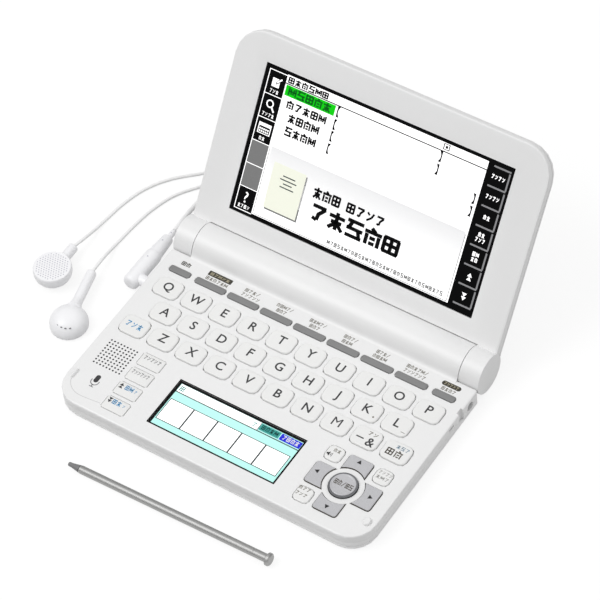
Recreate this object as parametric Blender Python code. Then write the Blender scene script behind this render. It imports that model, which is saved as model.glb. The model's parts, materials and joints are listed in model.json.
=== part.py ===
"""Electronic dictionary: a hinged clamshell with a keyboard, two displays, a stylus and plugged-in earphones.

Metres, +Z up. The origin is on the table under the middle of the base, +Y points to the hinge.
"""

import math

import bmesh
import bpy
from mathutils import Matrix, Vector

# Gaps and overruns shared by all pieces
CLEARANCE = 0.0003
OVERRUN = 0.002

# Shares used by rounded edges: how far in an edge's middle lies, and the least corner left by an inset
ROUND_SHARE = 0.3
LEAST_CORNER_SHARE = 0.2

# Base case
KEYBOARD_MARGIN = 0.0041
FRONT_MARGIN = 0.00595
PARTING_HEIGHT = 0.0028
CASE_WALL = 0.0016
DECK_THICKNESS = 0.0012
FLOOR_THICKNESS = 0.0012
CASE_CORNER_RADIUS = 0.0115
REAR_CORNER_RADIUS = 0.0012
BOTTOM_ROUND = 0.0018
DECK_ROUND = 0.0007
CORNER_STEPS = 5

# Hinge and battery barrel
HINGE_REACH = 0.0427
BARREL_WALL = 0.0012
BARREL_STEPS = 28
EAR_WIDTH = 0.0091
PIN_END_WALL = 0.0013
BLEND_RADIUS = 0.0028
BLEND_DIP = 0.00003
BLEND_STEPS = 5
BATTERY_COVER_RISE = 0.0028
COVER_ARC_START = 200.0
COVER_ARC_END = 380.0
CELL_RADIUS = 0.00715
CELL_GAP = 0.00045
CONTACT_ROOM = 0.006
CELL_NUB_RADIUS = 0.0026
CELL_NUB_LENGTH = 0.0012
CELL_STEPS = 16
HINGE_PIN_RADIUS = 0.002
HINGE_PIN_LENGTH = 0.0124
HINGE_PIN_STEPS = 16

# Lid, in the closed position: reach runs from the hinge axis to the front, height from the axis up
OPEN_ANGLE = 124.47
LID_SIDE_INSET = 0.0003
LID_FRONT_INSET = 0.00075
LID_REST_GAP = 0.0004
BEZEL_DEPTH = 0.00305
BACK_COVER_DEPTH = 0.00275
LID_WALL = 0.0016
LID_FACE_THICKNESS = 0.0016
LID_BACK_THICKNESS = 0.0012
LID_CORNER_RADIUS = 0.013
LID_FACE_ROUND = 0.0009
LID_BACK_ROUND = 0.0016
LID_HEEL_WALL = 0.0022
WINDOW_SIDE_MARGIN = 0.0152
WINDOW_TOP_MARGIN = 0.012
WINDOW_REACH = 0.0175
WINDOW_SLOPE_WIDTH = 0.0042
WINDOW_DEPTH = 0.0008
DISPLAY_FLANGE = 0.0018
DISPLAY_FLANGE_THICKNESS = 0.0014

# Keys
KEY_WIDTH = 0.0119
KEY_DEPTH = 0.0093
KEY_GAP_X = 0.00208
KEY_GAP_Y = 0.00232
KEY_CORNER = 0.0023
KEY_RISE = 0.0008
KEY_EDGE_ROUND = 0.0004
KEY_FLANGE = 0.00065
FLANGE_THICKNESS = 0.0006
KEY_TRAVEL = 0.0008
EDGE_RISE_SHARE = 0.8
LEAST_KEY_CORNER_SHARE = 0.5
LOWER_ROWS_SHIFT = -0.0005
TOP_ROW = "qwertyuiop"
MIDDLE_ROW = "asdfghjkl"
BOTTOM_ROW = ("shift", "z", "x", "c", "v", "b", "n", "m", "symbol", "delete")
KEY_CORNER_STEPS = 2
SMALL_CORNER_STEPS = 1

# Function keys
FUNCTION_BACK_GAP = 0.0094
FUNCTION_FRONT_GAP = 0.0037
FUNCTION_GAP = 0.0016
FUNCTION_DEPTH = 0.0029
FUNCTION_CORNER = 0.0007
FUNCTION_RISE = 0.00045
FUNCTION_END_INSET = 0.0052
FUNCTION_END_WIDTH = 0.01
FUNCTION_END_GAP = 0.0029
FUNCTION_MIDDLE_COUNT = 7
WEB_INSET_SHARE = 0.2

# Small keys on the left
SIDE_KEYS_TO_KEYS = 0.00406
SIDE_KEY_GAP = 0.002
SIDE_KEY_WIDTH = 0.0107
SIDE_KEY_DEPTH = 0.0063
SIDE_KEY_CORNER = 0.0006
SIDE_KEY_RISE = 0.0003
SIDE_KEY_COUNT = 4

# Arrow pad
PAD_WALL_GAP = 0.0043
PAD_TO_KEYS = 0.00481
ENTER_RADIUS = 0.0059
ENTER_RISE = 0.0012
ENTER_STEPS = 28
PAD_RING_WIDTH = 0.0029
ARROW_SPACING = 0.001645
ARROW_REACH_X = 0.0151
ARROW_REACH_Y = 0.0144
ARROW_CORNER = 0.001
ARROW_RISE = 0.0006
ARROW_ARC_STEPS = 8
ARROW_COUNT = 4
QUICK_KEY_GAP = 0.00225
QUICK_KEY_SIZE = 0.0071
QUICK_KEY_CORNER = 0.0018
QUICK_KEY_RISE = 0.0005

# Handwriting panel
PANEL_TO_SIDE_KEYS = 0.00955
PANEL_TO_PAD = 0.0088
PANEL_FRONT_MARGIN = 0.00735
PANEL_TO_KEYS = 0.00781
PANEL_DEPTH = 0.0007
PANEL_FLANGE = 0.0011
PANEL_BODY_THICKNESS = 0.0013

# Loudspeaker and grille
GRILLE_DROP = 0.0047
GRILLE_PITCH = 0.00158
GRILLE_HOLE_RADIUS = 0.00034
GRILLE_COUNT = 9
GRILLE_HOLE_STEPS = 4
SPEAKER_RADIUS = 0.0075
SPEAKER_WALL_GAP = 0.0036
SPEAKER_KEY_GAP = 0.001
SPEAKER_HEIGHT = 0.0026
SPEAKER_STEPS = 24

# Rests for the closed lid
REST_RISE = 0.0011
LEFT_REST_INSET = (0.0032, 0.01245)
LEFT_REST_SIZE = (0.0011, 0.0048)
RIGHT_REST_INSET = (0.0038, 0.01065)
RIGHT_REST_SIZE = (0.0028, 0.0036)
REST_CORNER_SHARE = 0.9
REST_SHRINK = 0.0003
REST_SINK = 0.0002

# Right side wall: stylus bay, strap notch and strap slot
STYLUS_BAY_BACK_GAP = 0.0064
STYLUS_BAY_DROP = 0.0036
STYLUS_BAY_RADIUS = 0.0021
STYLUS_BAY_STEPS = 16
STRAP_NOTCH_GAP = 0.0028
STRAP_NOTCH_WIDTH = 0.0032
STRAP_NOTCH_DEPTH = 0.0013
STRAP_SLOT_GAP = 0.0043
STRAP_SLOT_WIDTH = 0.0032
STRAP_SLOT_HEIGHT = 0.0013
STRAP_SLOT_DROP = 0.0014

# Inside the base
BOARD_STANDOFF = 0.001
BOARD_THICKNESS = 0.001
BOARD_MARGIN = 0.0012
CHIP_HEIGHT = 0.0009
CHIP_SINK = 0.0002
CHIP_SIDE = 0.014
CHIP_ROOM = 0.0005
CHIP_SHARES = ((-0.28, 0.3, 1.0, 0.86), (0.11, 0.08, 0.71, 0.71), (0.47, 0.38, 0.57, 1.0))
MAT_THICKNESS = 0.0011
DOME_RADIUS = 0.0022
DOME_RISE = 0.0004
DOME_SINK = 0.0003
DOME_STEPS = 6
POST_RADIUS = 0.0021
POST_HOLE_RADIUS = 0.0009
POST_HOLE_DEPTH = 0.0011
POST_STEPS = 12
POST_INSET_X = 0.0125
POST_INSET_FRONT = 0.0125
POST_BACK_GAP = 0.0014

# Earphone jack
JACK_BACK_GAP = 0.0117
JACK_TOP_WALL = 0.0014
JACK_HOLE_RADIUS = 0.0017
JACK_BORE_RADIUS = 0.00135
JACK_BODY_LENGTH = 0.0098
JACK_BODY_WIDTH = 0.006
JACK_STEPS = 16

# Stylus on the table
STYLUS_INSET = 0.0235
STYLUS_FRONT_GAP = 0.02115
STYLUS_NIB_END_SHARE = 1.5
STYLUS_CONE_SHARES = (0.3, 0.85)
STYLUS_TURN = 1.05
STYLUS_RADIUS = 0.00175
STYLUS_HEAD_RADIUS = 0.0027
STYLUS_HEAD_LENGTH = 0.0018
STYLUS_LENGTH = 0.0955
STYLUS_NIB_RADIUS = 0.0006
STYLUS_NIB_LENGTH = 0.0021
STYLUS_CONE_LENGTH = 0.0042
STYLUS_STEPS = 16

# Earphones on the table
PLUG_PIN_RADIUS = 0.00105
PLUG_PIN_LENGTH = 0.0085
PLUG_BOSS_RADIUS = 0.0026
PLUG_RADIUS = 0.0036
PLUG_GAP = 0.0034
PLUG_FRONT = 0.0045
PLUG_SHOULDER = 0.0134
PLUG_NECK_RADIUS = 0.0032
PLUG_NECK_END = 0.0243
PLUG_RELIEF_RADIUS = 0.0013
PLUG_RELIEF_END = 0.0285
PLUG_NOSE = 0.0016
PLUG_TAPER_SHARES = (0.7, 0.75, 0.85)
PLUG_STEPS = 16
LEAD_RADIUS = 0.001
BRANCH_RADIUS = 0.0007
COIL_X = -0.038
COIL_Y = 0.084
COIL_MID_RADIUS = 0.0112
COIL_PITCH = 0.00247
COIL_LAYER_TURNS = 4.25
COIL_LOOP_POINTS = 24
COIL_CLIMB_TURNS = 0.5
COIL_START = -90.0
COIL_TAIL = 0.013
COIL_TAIL_POINTS = 8
CORD_POINT_SPACING = 2.5
CORD_CURVE_STEPS = 16
SPLITTER_LENGTH = 0.011
SPLITTER_WIDTH = 0.0042
SPLITTER_HEIGHT = 0.0026
SPLITTER_CORNER = 0.0008
BRANCH_SPACING = 0.0022
BUD_RADIUS = 0.0082
BUD_HEIGHT = 0.0088
STEM_RADIUS = 0.0022
STEM_TAPER_SHARES = (0.94, 0.85)
STEM_STEPS = 12
BUD_STEPS = 20
BUD_UP = (-0.1128, 0.0012)
BUD_UP_STEM_LENGTH = 0.0155
BUD_UP_STEM_TURN = 2.0
BUD_DOWN = (-0.0922, -0.0162)
BUD_DOWN_STEM_LENGTH = 0.0262
BUD_DOWN_STEM_TURN = 14.0
STEM_HEIGHT = 0.0042
BUD_UP_SHARES = ((0.0, 0.0), (0.52, 0.0), (0.78, 0.2), (0.95, 0.42), (1.0, 0.6), (1.0, 0.84),
                 (0.97, 0.93), (0.91, 0.97), (0.0, 1.0))
BUD_DOWN_SHARES = ((0.0, 0.0), (0.82, 0.0), (0.95, 0.06), (1.0, 0.16), (1.0, 0.34), (0.93, 0.55),
                   (0.74, 0.78), (0.46, 0.94), (0.0, 1.0))

# Routes of the cords, chosen by hand along the table, in metres
LEAD_ROUTE = ((-0.0815, 0.0490, 0.0042), (-0.0827, 0.0550, 0.0026), (-0.0835, 0.0610, 0.0013),
              (-0.0831, 0.0665, 0.0010), (-0.0805, 0.0707, 0.0010), (-0.0760, 0.0729, 0.0010),
              (-0.0700, 0.0733, 0.0010), (-0.0630, 0.0725, 0.0010), (-0.0560, 0.0708, 0.0010),
              (-0.0490, 0.0690, 0.0010))
BRANCH_UP_ROUTE = ((-0.0700, 0.0995, 0.0008), (-0.0760, 0.0952, 0.0007), (-0.0830, 0.0877, 0.0007),
                   (-0.0909, 0.0797, 0.0007), (-0.1011, 0.0700, 0.0007), (-0.1075, 0.0600, 0.0007),
                   (-0.1108, 0.0490, 0.0007), (-0.1122, 0.0380, 0.0008), (-0.1125, 0.0300, 0.0018),
                   (-0.1124, 0.0235, 0.0036))
BRANCH_DOWN_ROUTE = ((-0.0686, 0.0962, 0.0008), (-0.0735, 0.0895, 0.0007), (-0.0800, 0.0815, 0.0007),
                     (-0.0879, 0.0725, 0.0007), (-0.0948, 0.0625, 0.0007), (-0.0985, 0.0508, 0.0007),
                     (-0.1000, 0.0390, 0.0007), (-0.1005, 0.0300, 0.0008), (-0.1002, 0.0240, 0.0018),
                     (-0.0993, 0.0175, 0.0036))

# Heights, from the floor up through the board, the chips, the mat and the key flanges to the deck
BOARD_LEVEL = FLOOR_THICKNESS + BOARD_STANDOFF
MAT_LEVEL = BOARD_LEVEL + BOARD_THICKNESS + CHIP_HEIGHT + CHIP_ROOM
DOME_TOP = MAT_LEVEL + MAT_THICKNESS + DOME_RISE
FLANGE_BOTTOM = DOME_TOP + CLEARANCE + KEY_TRAVEL
FLANGE_TOP = FLANGE_BOTTOM + FLANGE_THICKNESS
DECK_UNDERSIDE = FLANGE_TOP + CLEARANCE
DECK_HEIGHT = DECK_UNDERSIDE + DECK_THICKNESS
UPPER_BOTTOM = PARTING_HEIGHT + CLEARANCE / 2
LOWER_TOP = PARTING_HEIGHT - CLEARANCE / 2
JACK_BODY_TOP = FLANGE_BOTTOM - KEY_TRAVEL - CLEARANCE
JACK_HEIGHT = JACK_BODY_TOP - JACK_TOP_WALL
STYLUS_BAY_HEIGHT = DECK_HEIGHT - STYLUS_BAY_DROP
STRAP_SLOT_LEVEL = DECK_HEIGHT - STRAP_SLOT_DROP - STRAP_SLOT_HEIGHT

# Barrel, round the cells
BAY_RADIUS = CELL_RADIUS + CELL_GAP
BARREL_RADIUS = BAY_RADIUS + BARREL_WALL
HINGE_HEIGHT = BARREL_RADIUS + CLEARANCE
BATTERY_COVER_TOP = HINGE_HEIGHT + BATTERY_COVER_RISE

# Places from left to right, from the keyboard's width
KEY_PITCH_X = KEY_WIDTH + KEY_GAP_X
BASE_WIDTH = len(TOP_ROW) * KEY_PITCH_X + 2 * KEYBOARD_MARGIN
BASE_HALF = BASE_WIDTH / 2
CAVITY_HALF = BASE_HALF - CASE_WALL
LID_HALF = BASE_HALF - LID_SIDE_INSET
EAR_INNER = LID_HALF - EAR_WIDTH
BARREL_HALF = EAR_INNER - CLEARANCE
BATTERY_BAY_HALF = BARREL_HALF - HINGE_PIN_LENGTH / 2 - CLEARANCE - PIN_END_WALL
CELL_LENGTH = BATTERY_BAY_HALF - CONTACT_ROOM - CELL_NUB_LENGTH
WINDOW_HALF = LID_HALF - WINDOW_SIDE_MARGIN
PAD_RING_RADIUS = ENTER_RADIUS + PAD_RING_WIDTH
ARROW_WIDTH = math.sqrt(2) * PAD_RING_RADIUS - ARROW_SPACING
PAD_X = CAVITY_HALF - PAD_WALL_GAP - ARROW_REACH_X
QUICK_KEY_OFFSET = ARROW_WIDTH / 2 + QUICK_KEY_GAP + QUICK_KEY_SIZE / 2
GRILLE_X = -CAVITY_HALF + SPEAKER_WALL_GAP + SPEAKER_RADIUS
SIDE_KEY_X = GRILLE_X + SPEAKER_RADIUS + SPEAKER_KEY_GAP + KEY_FLANGE + SIDE_KEY_WIDTH / 2
PANEL_LEFT = SIDE_KEY_X + SIDE_KEY_WIDTH / 2 + PANEL_TO_SIDE_KEYS
PANEL_RIGHT = PAD_X - ARROW_REACH_X - PANEL_TO_PAD
FUNCTION_END_X = BASE_HALF - FUNCTION_END_INSET - FUNCTION_END_WIDTH / 2
FUNCTION_ROW = 2 * (FUNCTION_END_X - FUNCTION_END_WIDTH / 2 - FUNCTION_END_GAP)
FUNCTION_PITCH = (FUNCTION_ROW + FUNCTION_GAP) / FUNCTION_MIDDLE_COUNT
FUNCTION_WIDTH = FUNCTION_PITCH - FUNCTION_GAP

# Places from the hinge to the front
HINGE_Y = HINGE_REACH
BODY_BACK_Y = HINGE_Y - BARREL_RADIUS - CLEARANCE
CAVITY_BACK = BODY_BACK_Y - CASE_WALL
STYLUS_BAY_Y = HINGE_Y - BARREL_RADIUS - STYLUS_BAY_BACK_GAP
STRAP_NOTCH_Y = STYLUS_BAY_Y - STYLUS_BAY_RADIUS - STRAP_NOTCH_GAP - STRAP_NOTCH_WIDTH / 2
STRAP_SLOT_Y = STRAP_NOTCH_Y - STRAP_NOTCH_WIDTH / 2 - STRAP_SLOT_GAP - STRAP_SLOT_WIDTH / 2
POST_BACK_Y = STYLUS_BAY_Y - POST_BACK_GAP - POST_RADIUS
JACK_Y = STYLUS_BAY_Y - JACK_BACK_GAP
FUNCTION_Y = HINGE_Y - BARREL_RADIUS - FUNCTION_BACK_GAP
KEY_PITCH_Y = KEY_DEPTH + KEY_GAP_Y
TOP_ROW_Y = FUNCTION_Y - FUNCTION_DEPTH / 2 - FUNCTION_FRONT_GAP - KEY_DEPTH / 2
KEYS_FRONT = TOP_ROW_Y - 2 * KEY_PITCH_Y - KEY_DEPTH / 2
PAD_Y = KEYS_FRONT - PAD_TO_KEYS - ARROW_REACH_Y
FRONT_Y = PAD_Y - ARROW_REACH_Y - FRONT_MARGIN
CAVITY_FRONT = FRONT_Y + CASE_WALL
PANEL_BACK = KEYS_FRONT - PANEL_TO_KEYS
PANEL_FRONT = FRONT_Y + PANEL_FRONT_MARGIN
SIDE_KEY_TOP_Y = KEYS_FRONT - SIDE_KEYS_TO_KEYS - SIDE_KEY_DEPTH / 2
SIDE_KEY_PITCH = SIDE_KEY_DEPTH + SIDE_KEY_GAP
GRILLE_Y = SIDE_KEY_TOP_Y - GRILLE_DROP
LEFT_REST = (-BASE_HALF + LEFT_REST_INSET[0], FRONT_Y + LEFT_REST_INSET[1])
RIGHT_REST = (BASE_HALF - RIGHT_REST_INSET[0], FRONT_Y + RIGHT_REST_INSET[1])
STYLUS_TIP = (-BASE_HALF + STYLUS_INSET, FRONT_Y - STYLUS_FRONT_GAP)
PAD_MIDDLE = Vector((PAD_X, PAD_Y))

# Lid, closed
LID_REACH = HINGE_Y - FRONT_Y - LID_FRONT_INSET
LID_FACE_HEIGHT = DECK_HEIGHT + REST_RISE + LID_REST_GAP - HINGE_HEIGHT
LID_PARTING = LID_FACE_HEIGHT + BEZEL_DEPTH
LID_TOP = LID_PARTING + BACK_COVER_DEPTH
WINDOW_LENGTH = LID_REACH - WINDOW_REACH - WINDOW_TOP_MARGIN


# Mesh helpers

def paint(obj, colour, roughness, metallic=0.0):
    """Gives an object its own Principled material."""
    material = bpy.data.materials.new(obj.name)
    material.use_nodes = True
    shader = material.node_tree.nodes["Principled BSDF"]
    shader.inputs["Base Color"].default_value = (*colour, 1.0)
    shader.inputs["Roughness"].default_value = roughness
    shader.inputs["Metallic"].default_value = metallic
    obj.data.materials.append(material)
    return obj


WHITE = (0.83, 0.83, 0.84)
GREY = (0.21, 0.22, 0.23)
SILVER = (0.55, 0.55, 0.6)
BLACK = (0.01, 0.01, 0.012)
STEEL = (0.6, 0.6, 0.61)
GREEN = (0.03, 0.2, 0.08)
RUBBER = (0.5, 0.52, 0.55)


def new_object(name, mesh_data):
    """Writes a bmesh into a new object in the scene."""
    bmesh.ops.recalc_face_normals(mesh_data, faces=mesh_data.faces)
    mesh = bpy.data.meshes.new(name)
    mesh_data.to_mesh(mesh)
    mesh_data.free()
    obj = bpy.data.objects.new(name, mesh)
    bpy.context.collection.objects.link(obj)
    return obj


def lofted(name, rings):
    """One closed solid through rings of points, capped at both ends."""
    mesh_data = bmesh.new()
    loops = [[mesh_data.verts.new(point) for point in ring] for ring in rings]
    count = len(loops[0])
    for lower, upper in zip(loops, loops[1:]):
        for i in range(count):
            j = (i + 1) % count
            mesh_data.faces.new((lower[i], lower[j], upper[j], upper[i]))
    mesh_data.faces.new(loops[0][::-1])
    mesh_data.faces.new(loops[-1])
    return new_object(name, mesh_data)


def rounded(left, right, front, back, front_radius, back_radius, inset=0.0, steps=CORNER_STEPS):
    """Points of a rectangle with round corners, counter-clockwise from the front right corner."""
    points = []
    corners = (
        (right - front_radius, front + front_radius, front_radius, -90.0),
        (right - back_radius, back - back_radius, back_radius, 0.0),
        (left + back_radius, back - back_radius, back_radius, 90.0),
        (left + front_radius, front + front_radius, front_radius, 180.0),
    )
    for x, y, radius, start in corners:
        radius = max(radius - inset, radius * LEAST_CORNER_SHARE)
        shift = Vector((math.copysign(1, x - (left + right) / 2), math.copysign(1, y - (front + back) / 2)))
        for i in range(steps + 1):
            angle = math.radians(start + 90.0 * i / steps)
            full = {-90.0: front_radius, 180.0: front_radius}.get(start, back_radius)
            centre = Vector((x, y)) + shift * (full - inset - radius)
            points.append(centre + radius * Vector((math.cos(angle), math.sin(angle))))
    return points


def slab(name, outline, levels):
    """A slab through (inset, height) levels, where outline(inset) gives its plan."""
    return lofted(name, [[(p.x, p.y, height) for p in outline(inset)] for inset, height in levels])


def along_x(name, outline, start, end):
    """A solid whose (y, z) outline runs from x = start to x = end."""
    return lofted(name, [[(x, y, z) for y, z in outline] for x in (start, end)])


def arc(centre_y, centre_z, radius, start, end, steps):
    """(y, z) points of an arc, in degrees from +Y towards +Z."""
    angles = (math.radians(start + (end - start) * i / steps) for i in range(steps + 1))
    return [(centre_y + radius * math.cos(a), centre_z + radius * math.sin(a)) for a in angles]


def rod_x(name, y, z, radius, start, end, steps):
    """A round rod along X."""
    turn = 360.0 / steps
    return along_x(name, arc(y, z, radius, 0.0, 360.0 - turn, steps - 1), start, end)


def box(name, low, high):
    """A plain box between two corners."""
    (x0, y0, z0), (x1, y1, z1) = low, high
    return lofted(name, [[(x0, y0, z), (x1, y0, z), (x1, y1, z), (x0, y1, z)] for z in (z0, z1)])


def turned(name, profile, steps):
    """A solid turned round Z from (radius, height) points that start and end on the axis."""
    mesh_data = bmesh.new()
    inner = profile[1:-1]
    bottom = mesh_data.verts.new((0.0, 0.0, profile[0][1]))
    top = mesh_data.verts.new((0.0, 0.0, profile[-1][1]))
    rings = []
    for radius, height in inner:
        ring = []
        for i in range(steps):
            angle = 2 * math.pi * i / steps
            ring.append(mesh_data.verts.new((radius * math.cos(angle), radius * math.sin(angle), height)))
        rings.append(ring)
    for i in range(steps):
        j = (i + 1) % steps
        mesh_data.faces.new((bottom, rings[0][j], rings[0][i]))
        for lower, upper in zip(rings, rings[1:]):
            mesh_data.faces.new((lower[i], lower[j], upper[j], upper[i]))
        mesh_data.faces.new((top, rings[-1][i], rings[-1][j]))
    return new_object(name, mesh_data)


def post(name, x, y, low, high, radius, steps):
    """A round upright post."""
    obj = turned(name, ((0.0, low), (radius, low), (radius, high), (0.0, high)), steps)
    obj.data.transform(Matrix.Translation((x, y, 0.0)))
    return obj


def joined(name, objects):
    """Several helpers as one object, for one cut."""
    mesh_data = bmesh.new()
    for obj in objects:
        mesh_data.from_mesh(obj.data)
        bpy.data.objects.remove(obj)
    return new_object(name, mesh_data)


def combine(obj, helper, operation):
    """Adds helper to obj, or cuts it away, and hides helper."""
    modifier = obj.modifiers.new(helper.name, "BOOLEAN")
    modifier.operation = operation
    modifier.solver = "EXACT"
    modifier.object = helper
    helper.hide_render = True
    helper.display_type = "WIRE"
    helper.parent = obj.parent
    return obj


def cut(obj, helper):
    return combine(obj, helper, "DIFFERENCE")


def add(obj, helper):
    return combine(obj, helper, "UNION")


# Plans

def base_plan(inset=0.0):
    back_radius = max(REAR_CORNER_RADIUS - inset, REAR_CORNER_RADIUS * LEAST_CORNER_SHARE)
    return rounded(-BASE_HALF + inset, BASE_HALF - inset, FRONT_Y + inset, BODY_BACK_Y - inset,
                   CASE_CORNER_RADIUS - inset, back_radius)


def cavity_plan(inset=0.0):
    return rounded(-CAVITY_HALF + inset, CAVITY_HALF - inset, CAVITY_FRONT + inset, CAVITY_BACK - inset,
                   CASE_CORNER_RADIUS - CASE_WALL, REAR_CORNER_RADIUS)


def lid_plan(inset=0.0):
    return rounded(-LID_HALF + inset, LID_HALF - inset, -LID_REACH + inset, 0.0,
                   LID_CORNER_RADIUS - inset, REAR_CORNER_RADIUS)


# Base case

def barrel_block(name):
    """The solid barrel with its concave blend into the deck, down to the parting line."""
    centre_z = DECK_HEIGHT - BLEND_DIP + BLEND_RADIUS
    rise = centre_z - HINGE_HEIGHT
    centre_y = HINGE_Y - math.sqrt((BARREL_RADIUS + BLEND_RADIUS) ** 2 - rise ** 2)
    meet = math.degrees(math.atan2(-rise, HINGE_Y - centre_y))
    blend = arc(centre_y, centre_z, BLEND_RADIUS, -90.0, meet, BLEND_STEPS)
    low = math.degrees(math.asin((HINGE_HEIGHT - UPPER_BOTTOM) / BARREL_RADIUS))
    barrel = arc(HINGE_Y, HINGE_HEIGHT, BARREL_RADIUS, 180.0 + meet, -low, BARREL_STEPS)
    inside = DECK_UNDERSIDE + DECK_THICKNESS / 2
    front = [(CAVITY_BACK + CASE_WALL / 2, UPPER_BOTTOM), (CAVITY_BACK + CASE_WALL / 2, inside),
             (centre_y, inside)]
    return along_x(name, blend + barrel[1:] + front, -BARREL_HALF, BARREL_HALF)


def corner_steps(corner):
    """A tight corner takes fewer points."""
    return KEY_CORNER_STEPS if corner > KEY_CORNER / 2 else SMALL_CORNER_STEPS


def key_opening(name, x, y, width, depth, corner):
    """A cutter for one key's opening in the deck."""
    half_width, half_depth = width / 2 + CLEARANCE, depth / 2 + CLEARANCE
    plan = rounded(x - half_width, x + half_width, y - half_depth, y + half_depth, corner + CLEARANCE,
                   corner + CLEARANCE, steps=corner_steps(corner))
    return lofted(name, [[(p.x, p.y, z) for p in plan]
                         for z in (DECK_UNDERSIDE - OVERRUN / 2, DECK_HEIGHT + OVERRUN)])


def main_keys():
    """(name, x, y) of each lettered key and its neighbours."""
    rows = ((TOP_ROW, 0.0), (MIDDLE_ROW, LOWER_ROWS_SHIFT), (BOTTOM_ROW, LOWER_ROWS_SHIFT))
    for row, (names, shift) in enumerate(rows):
        for column, letter in enumerate(names):
            x = (column - (len(names) - 1) / 2) * KEY_PITCH_X + shift
            yield f"key_{letter}", x, TOP_ROW_Y - row * KEY_PITCH_Y


def function_keys():
    """(x, width) of each function key."""
    yield -FUNCTION_END_X, FUNCTION_END_WIDTH
    for i in range(FUNCTION_MIDDLE_COUNT):
        yield (i - (FUNCTION_MIDDLE_COUNT - 1) / 2) * FUNCTION_PITCH, FUNCTION_WIDTH
    yield FUNCTION_END_X, FUNCTION_END_WIDTH


def side_keys():
    """y of each small key on the left."""
    return [SIDE_KEY_TOP_Y - i * SIDE_KEY_PITCH for i in range(SIDE_KEY_COUNT)]


def quick_keys():
    """(name, x, y) of the three small keys round the arrow pad."""
    yield "voice_key", PAD_X - QUICK_KEY_OFFSET, PAD_Y + QUICK_KEY_OFFSET
    yield "jump_key", PAD_X + QUICK_KEY_OFFSET, PAD_Y + QUICK_KEY_OFFSET
    yield "back_key", PAD_X - QUICK_KEY_OFFSET, PAD_Y - QUICK_KEY_OFFSET


def arrow_outline(reach, grow):
    """Plan of the arrow key that points to +X, concave round the enter key."""
    radius = PAD_RING_RADIUS - grow
    half = ARROW_WIDTH / 2 + grow
    outer = reach + grow
    corner = ARROW_CORNER + grow
    side = math.degrees(math.asin(half / radius)) if half < radius else 60.0
    inner = [Vector((radius * math.cos(math.radians(a)), radius * math.sin(math.radians(a))))
             for a in (side - 2 * side * i / ARROW_ARC_STEPS for i in range(ARROW_ARC_STEPS + 1))]
    ends = []
    for sign, start in ((-1, -90.0), (1, 0.0)):
        for i in range(KEY_CORNER_STEPS + 1):
            angle = math.radians(start + 90.0 * i / KEY_CORNER_STEPS)
            middle = Vector((outer - corner, sign * (half - corner)))
            ends.append(middle + corner * Vector((math.cos(angle), math.sin(angle))))
    return inner + ends


def arrow_solid(name, index, grow, levels):
    """One arrow's solid; index counts quarter turns from +X."""
    reach = ARROW_REACH_X if index % 2 == 0 else ARROW_REACH_Y
    turn = Matrix.Rotation(2 * math.pi * index / ARROW_COUNT, 2)
    rings = []
    for inset, height in levels:
        ring = [turn @ p + PAD_MIDDLE for p in arrow_outline(reach, grow - inset)]
        rings.append([(p.x, p.y, height) for p in ring])
    return lofted(name, rings)


def deck_openings():
    """All the cuts through the deck as one cutter."""
    cuts = [key_opening("c", x, y, KEY_WIDTH, KEY_DEPTH, KEY_CORNER) for _, x, y in main_keys()]
    cuts += [key_opening("c", x, FUNCTION_Y, width, FUNCTION_DEPTH, FUNCTION_CORNER)
             for x, width in function_keys()]
    cuts += [key_opening("c", SIDE_KEY_X, y, SIDE_KEY_WIDTH, SIDE_KEY_DEPTH, SIDE_KEY_CORNER)
             for y in side_keys()]
    cuts += [key_opening("c", x, y, QUICK_KEY_SIZE, QUICK_KEY_SIZE, QUICK_KEY_CORNER)
             for _, x, y in quick_keys()]
    span = ((0.0, DECK_UNDERSIDE - OVERRUN / 2), (0.0, DECK_HEIGHT + OVERRUN))
    cuts += [arrow_solid("c", i, CLEARANCE, span) for i in range(ARROW_COUNT)]
    cuts.append(post("c", PAD_X, PAD_Y, span[0][1], span[1][1], ENTER_RADIUS + CLEARANCE, ENTER_STEPS))
    cuts.append(box("c", (PANEL_LEFT, PANEL_FRONT, span[0][1]), (PANEL_RIGHT, PANEL_BACK, span[1][1])))
    for i in range(GRILLE_COUNT):
        for j in range(GRILLE_COUNT):
            x = GRILLE_X + (i - (GRILLE_COUNT - 1) / 2) * GRILLE_PITCH
            y = GRILLE_Y + (j - (GRILLE_COUNT - 1) / 2) * GRILLE_PITCH
            cuts.append(post("c", x, y, span[0][1], span[1][1], GRILLE_HOLE_RADIUS, GRILLE_HOLE_STEPS))
    return joined("deck_openings", cuts)


def side_wall_cuts():
    """Stylus bay, strap notch and strap slot on the right, the jack's hole on the left."""
    cuts = [
        rod_x("c", STYLUS_BAY_Y, STYLUS_BAY_HEIGHT, STYLUS_BAY_RADIUS, BASE_HALF - CASE_WALL - OVERRUN,
              BASE_HALF + OVERRUN, STYLUS_BAY_STEPS),
        box("c", (BASE_HALF - STRAP_NOTCH_DEPTH, STRAP_NOTCH_Y - STRAP_NOTCH_WIDTH / 2,
                  UPPER_BOTTOM - OVERRUN),
            (BASE_HALF + OVERRUN, STRAP_NOTCH_Y + STRAP_NOTCH_WIDTH / 2, DECK_HEIGHT + OVERRUN)),
        box("c", (BASE_HALF - CASE_WALL - OVERRUN, STRAP_SLOT_Y - STRAP_SLOT_WIDTH / 2, STRAP_SLOT_LEVEL),
            (BASE_HALF + OVERRUN, STRAP_SLOT_Y + STRAP_SLOT_WIDTH / 2, STRAP_SLOT_LEVEL + STRAP_SLOT_HEIGHT)),
        rod_x("c", JACK_Y, JACK_HEIGHT, JACK_HOLE_RADIUS, -BASE_HALF - OVERRUN,
              -BASE_HALF + CASE_WALL + OVERRUN, JACK_STEPS),
    ]
    return joined("side_wall_cuts", cuts)


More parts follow.
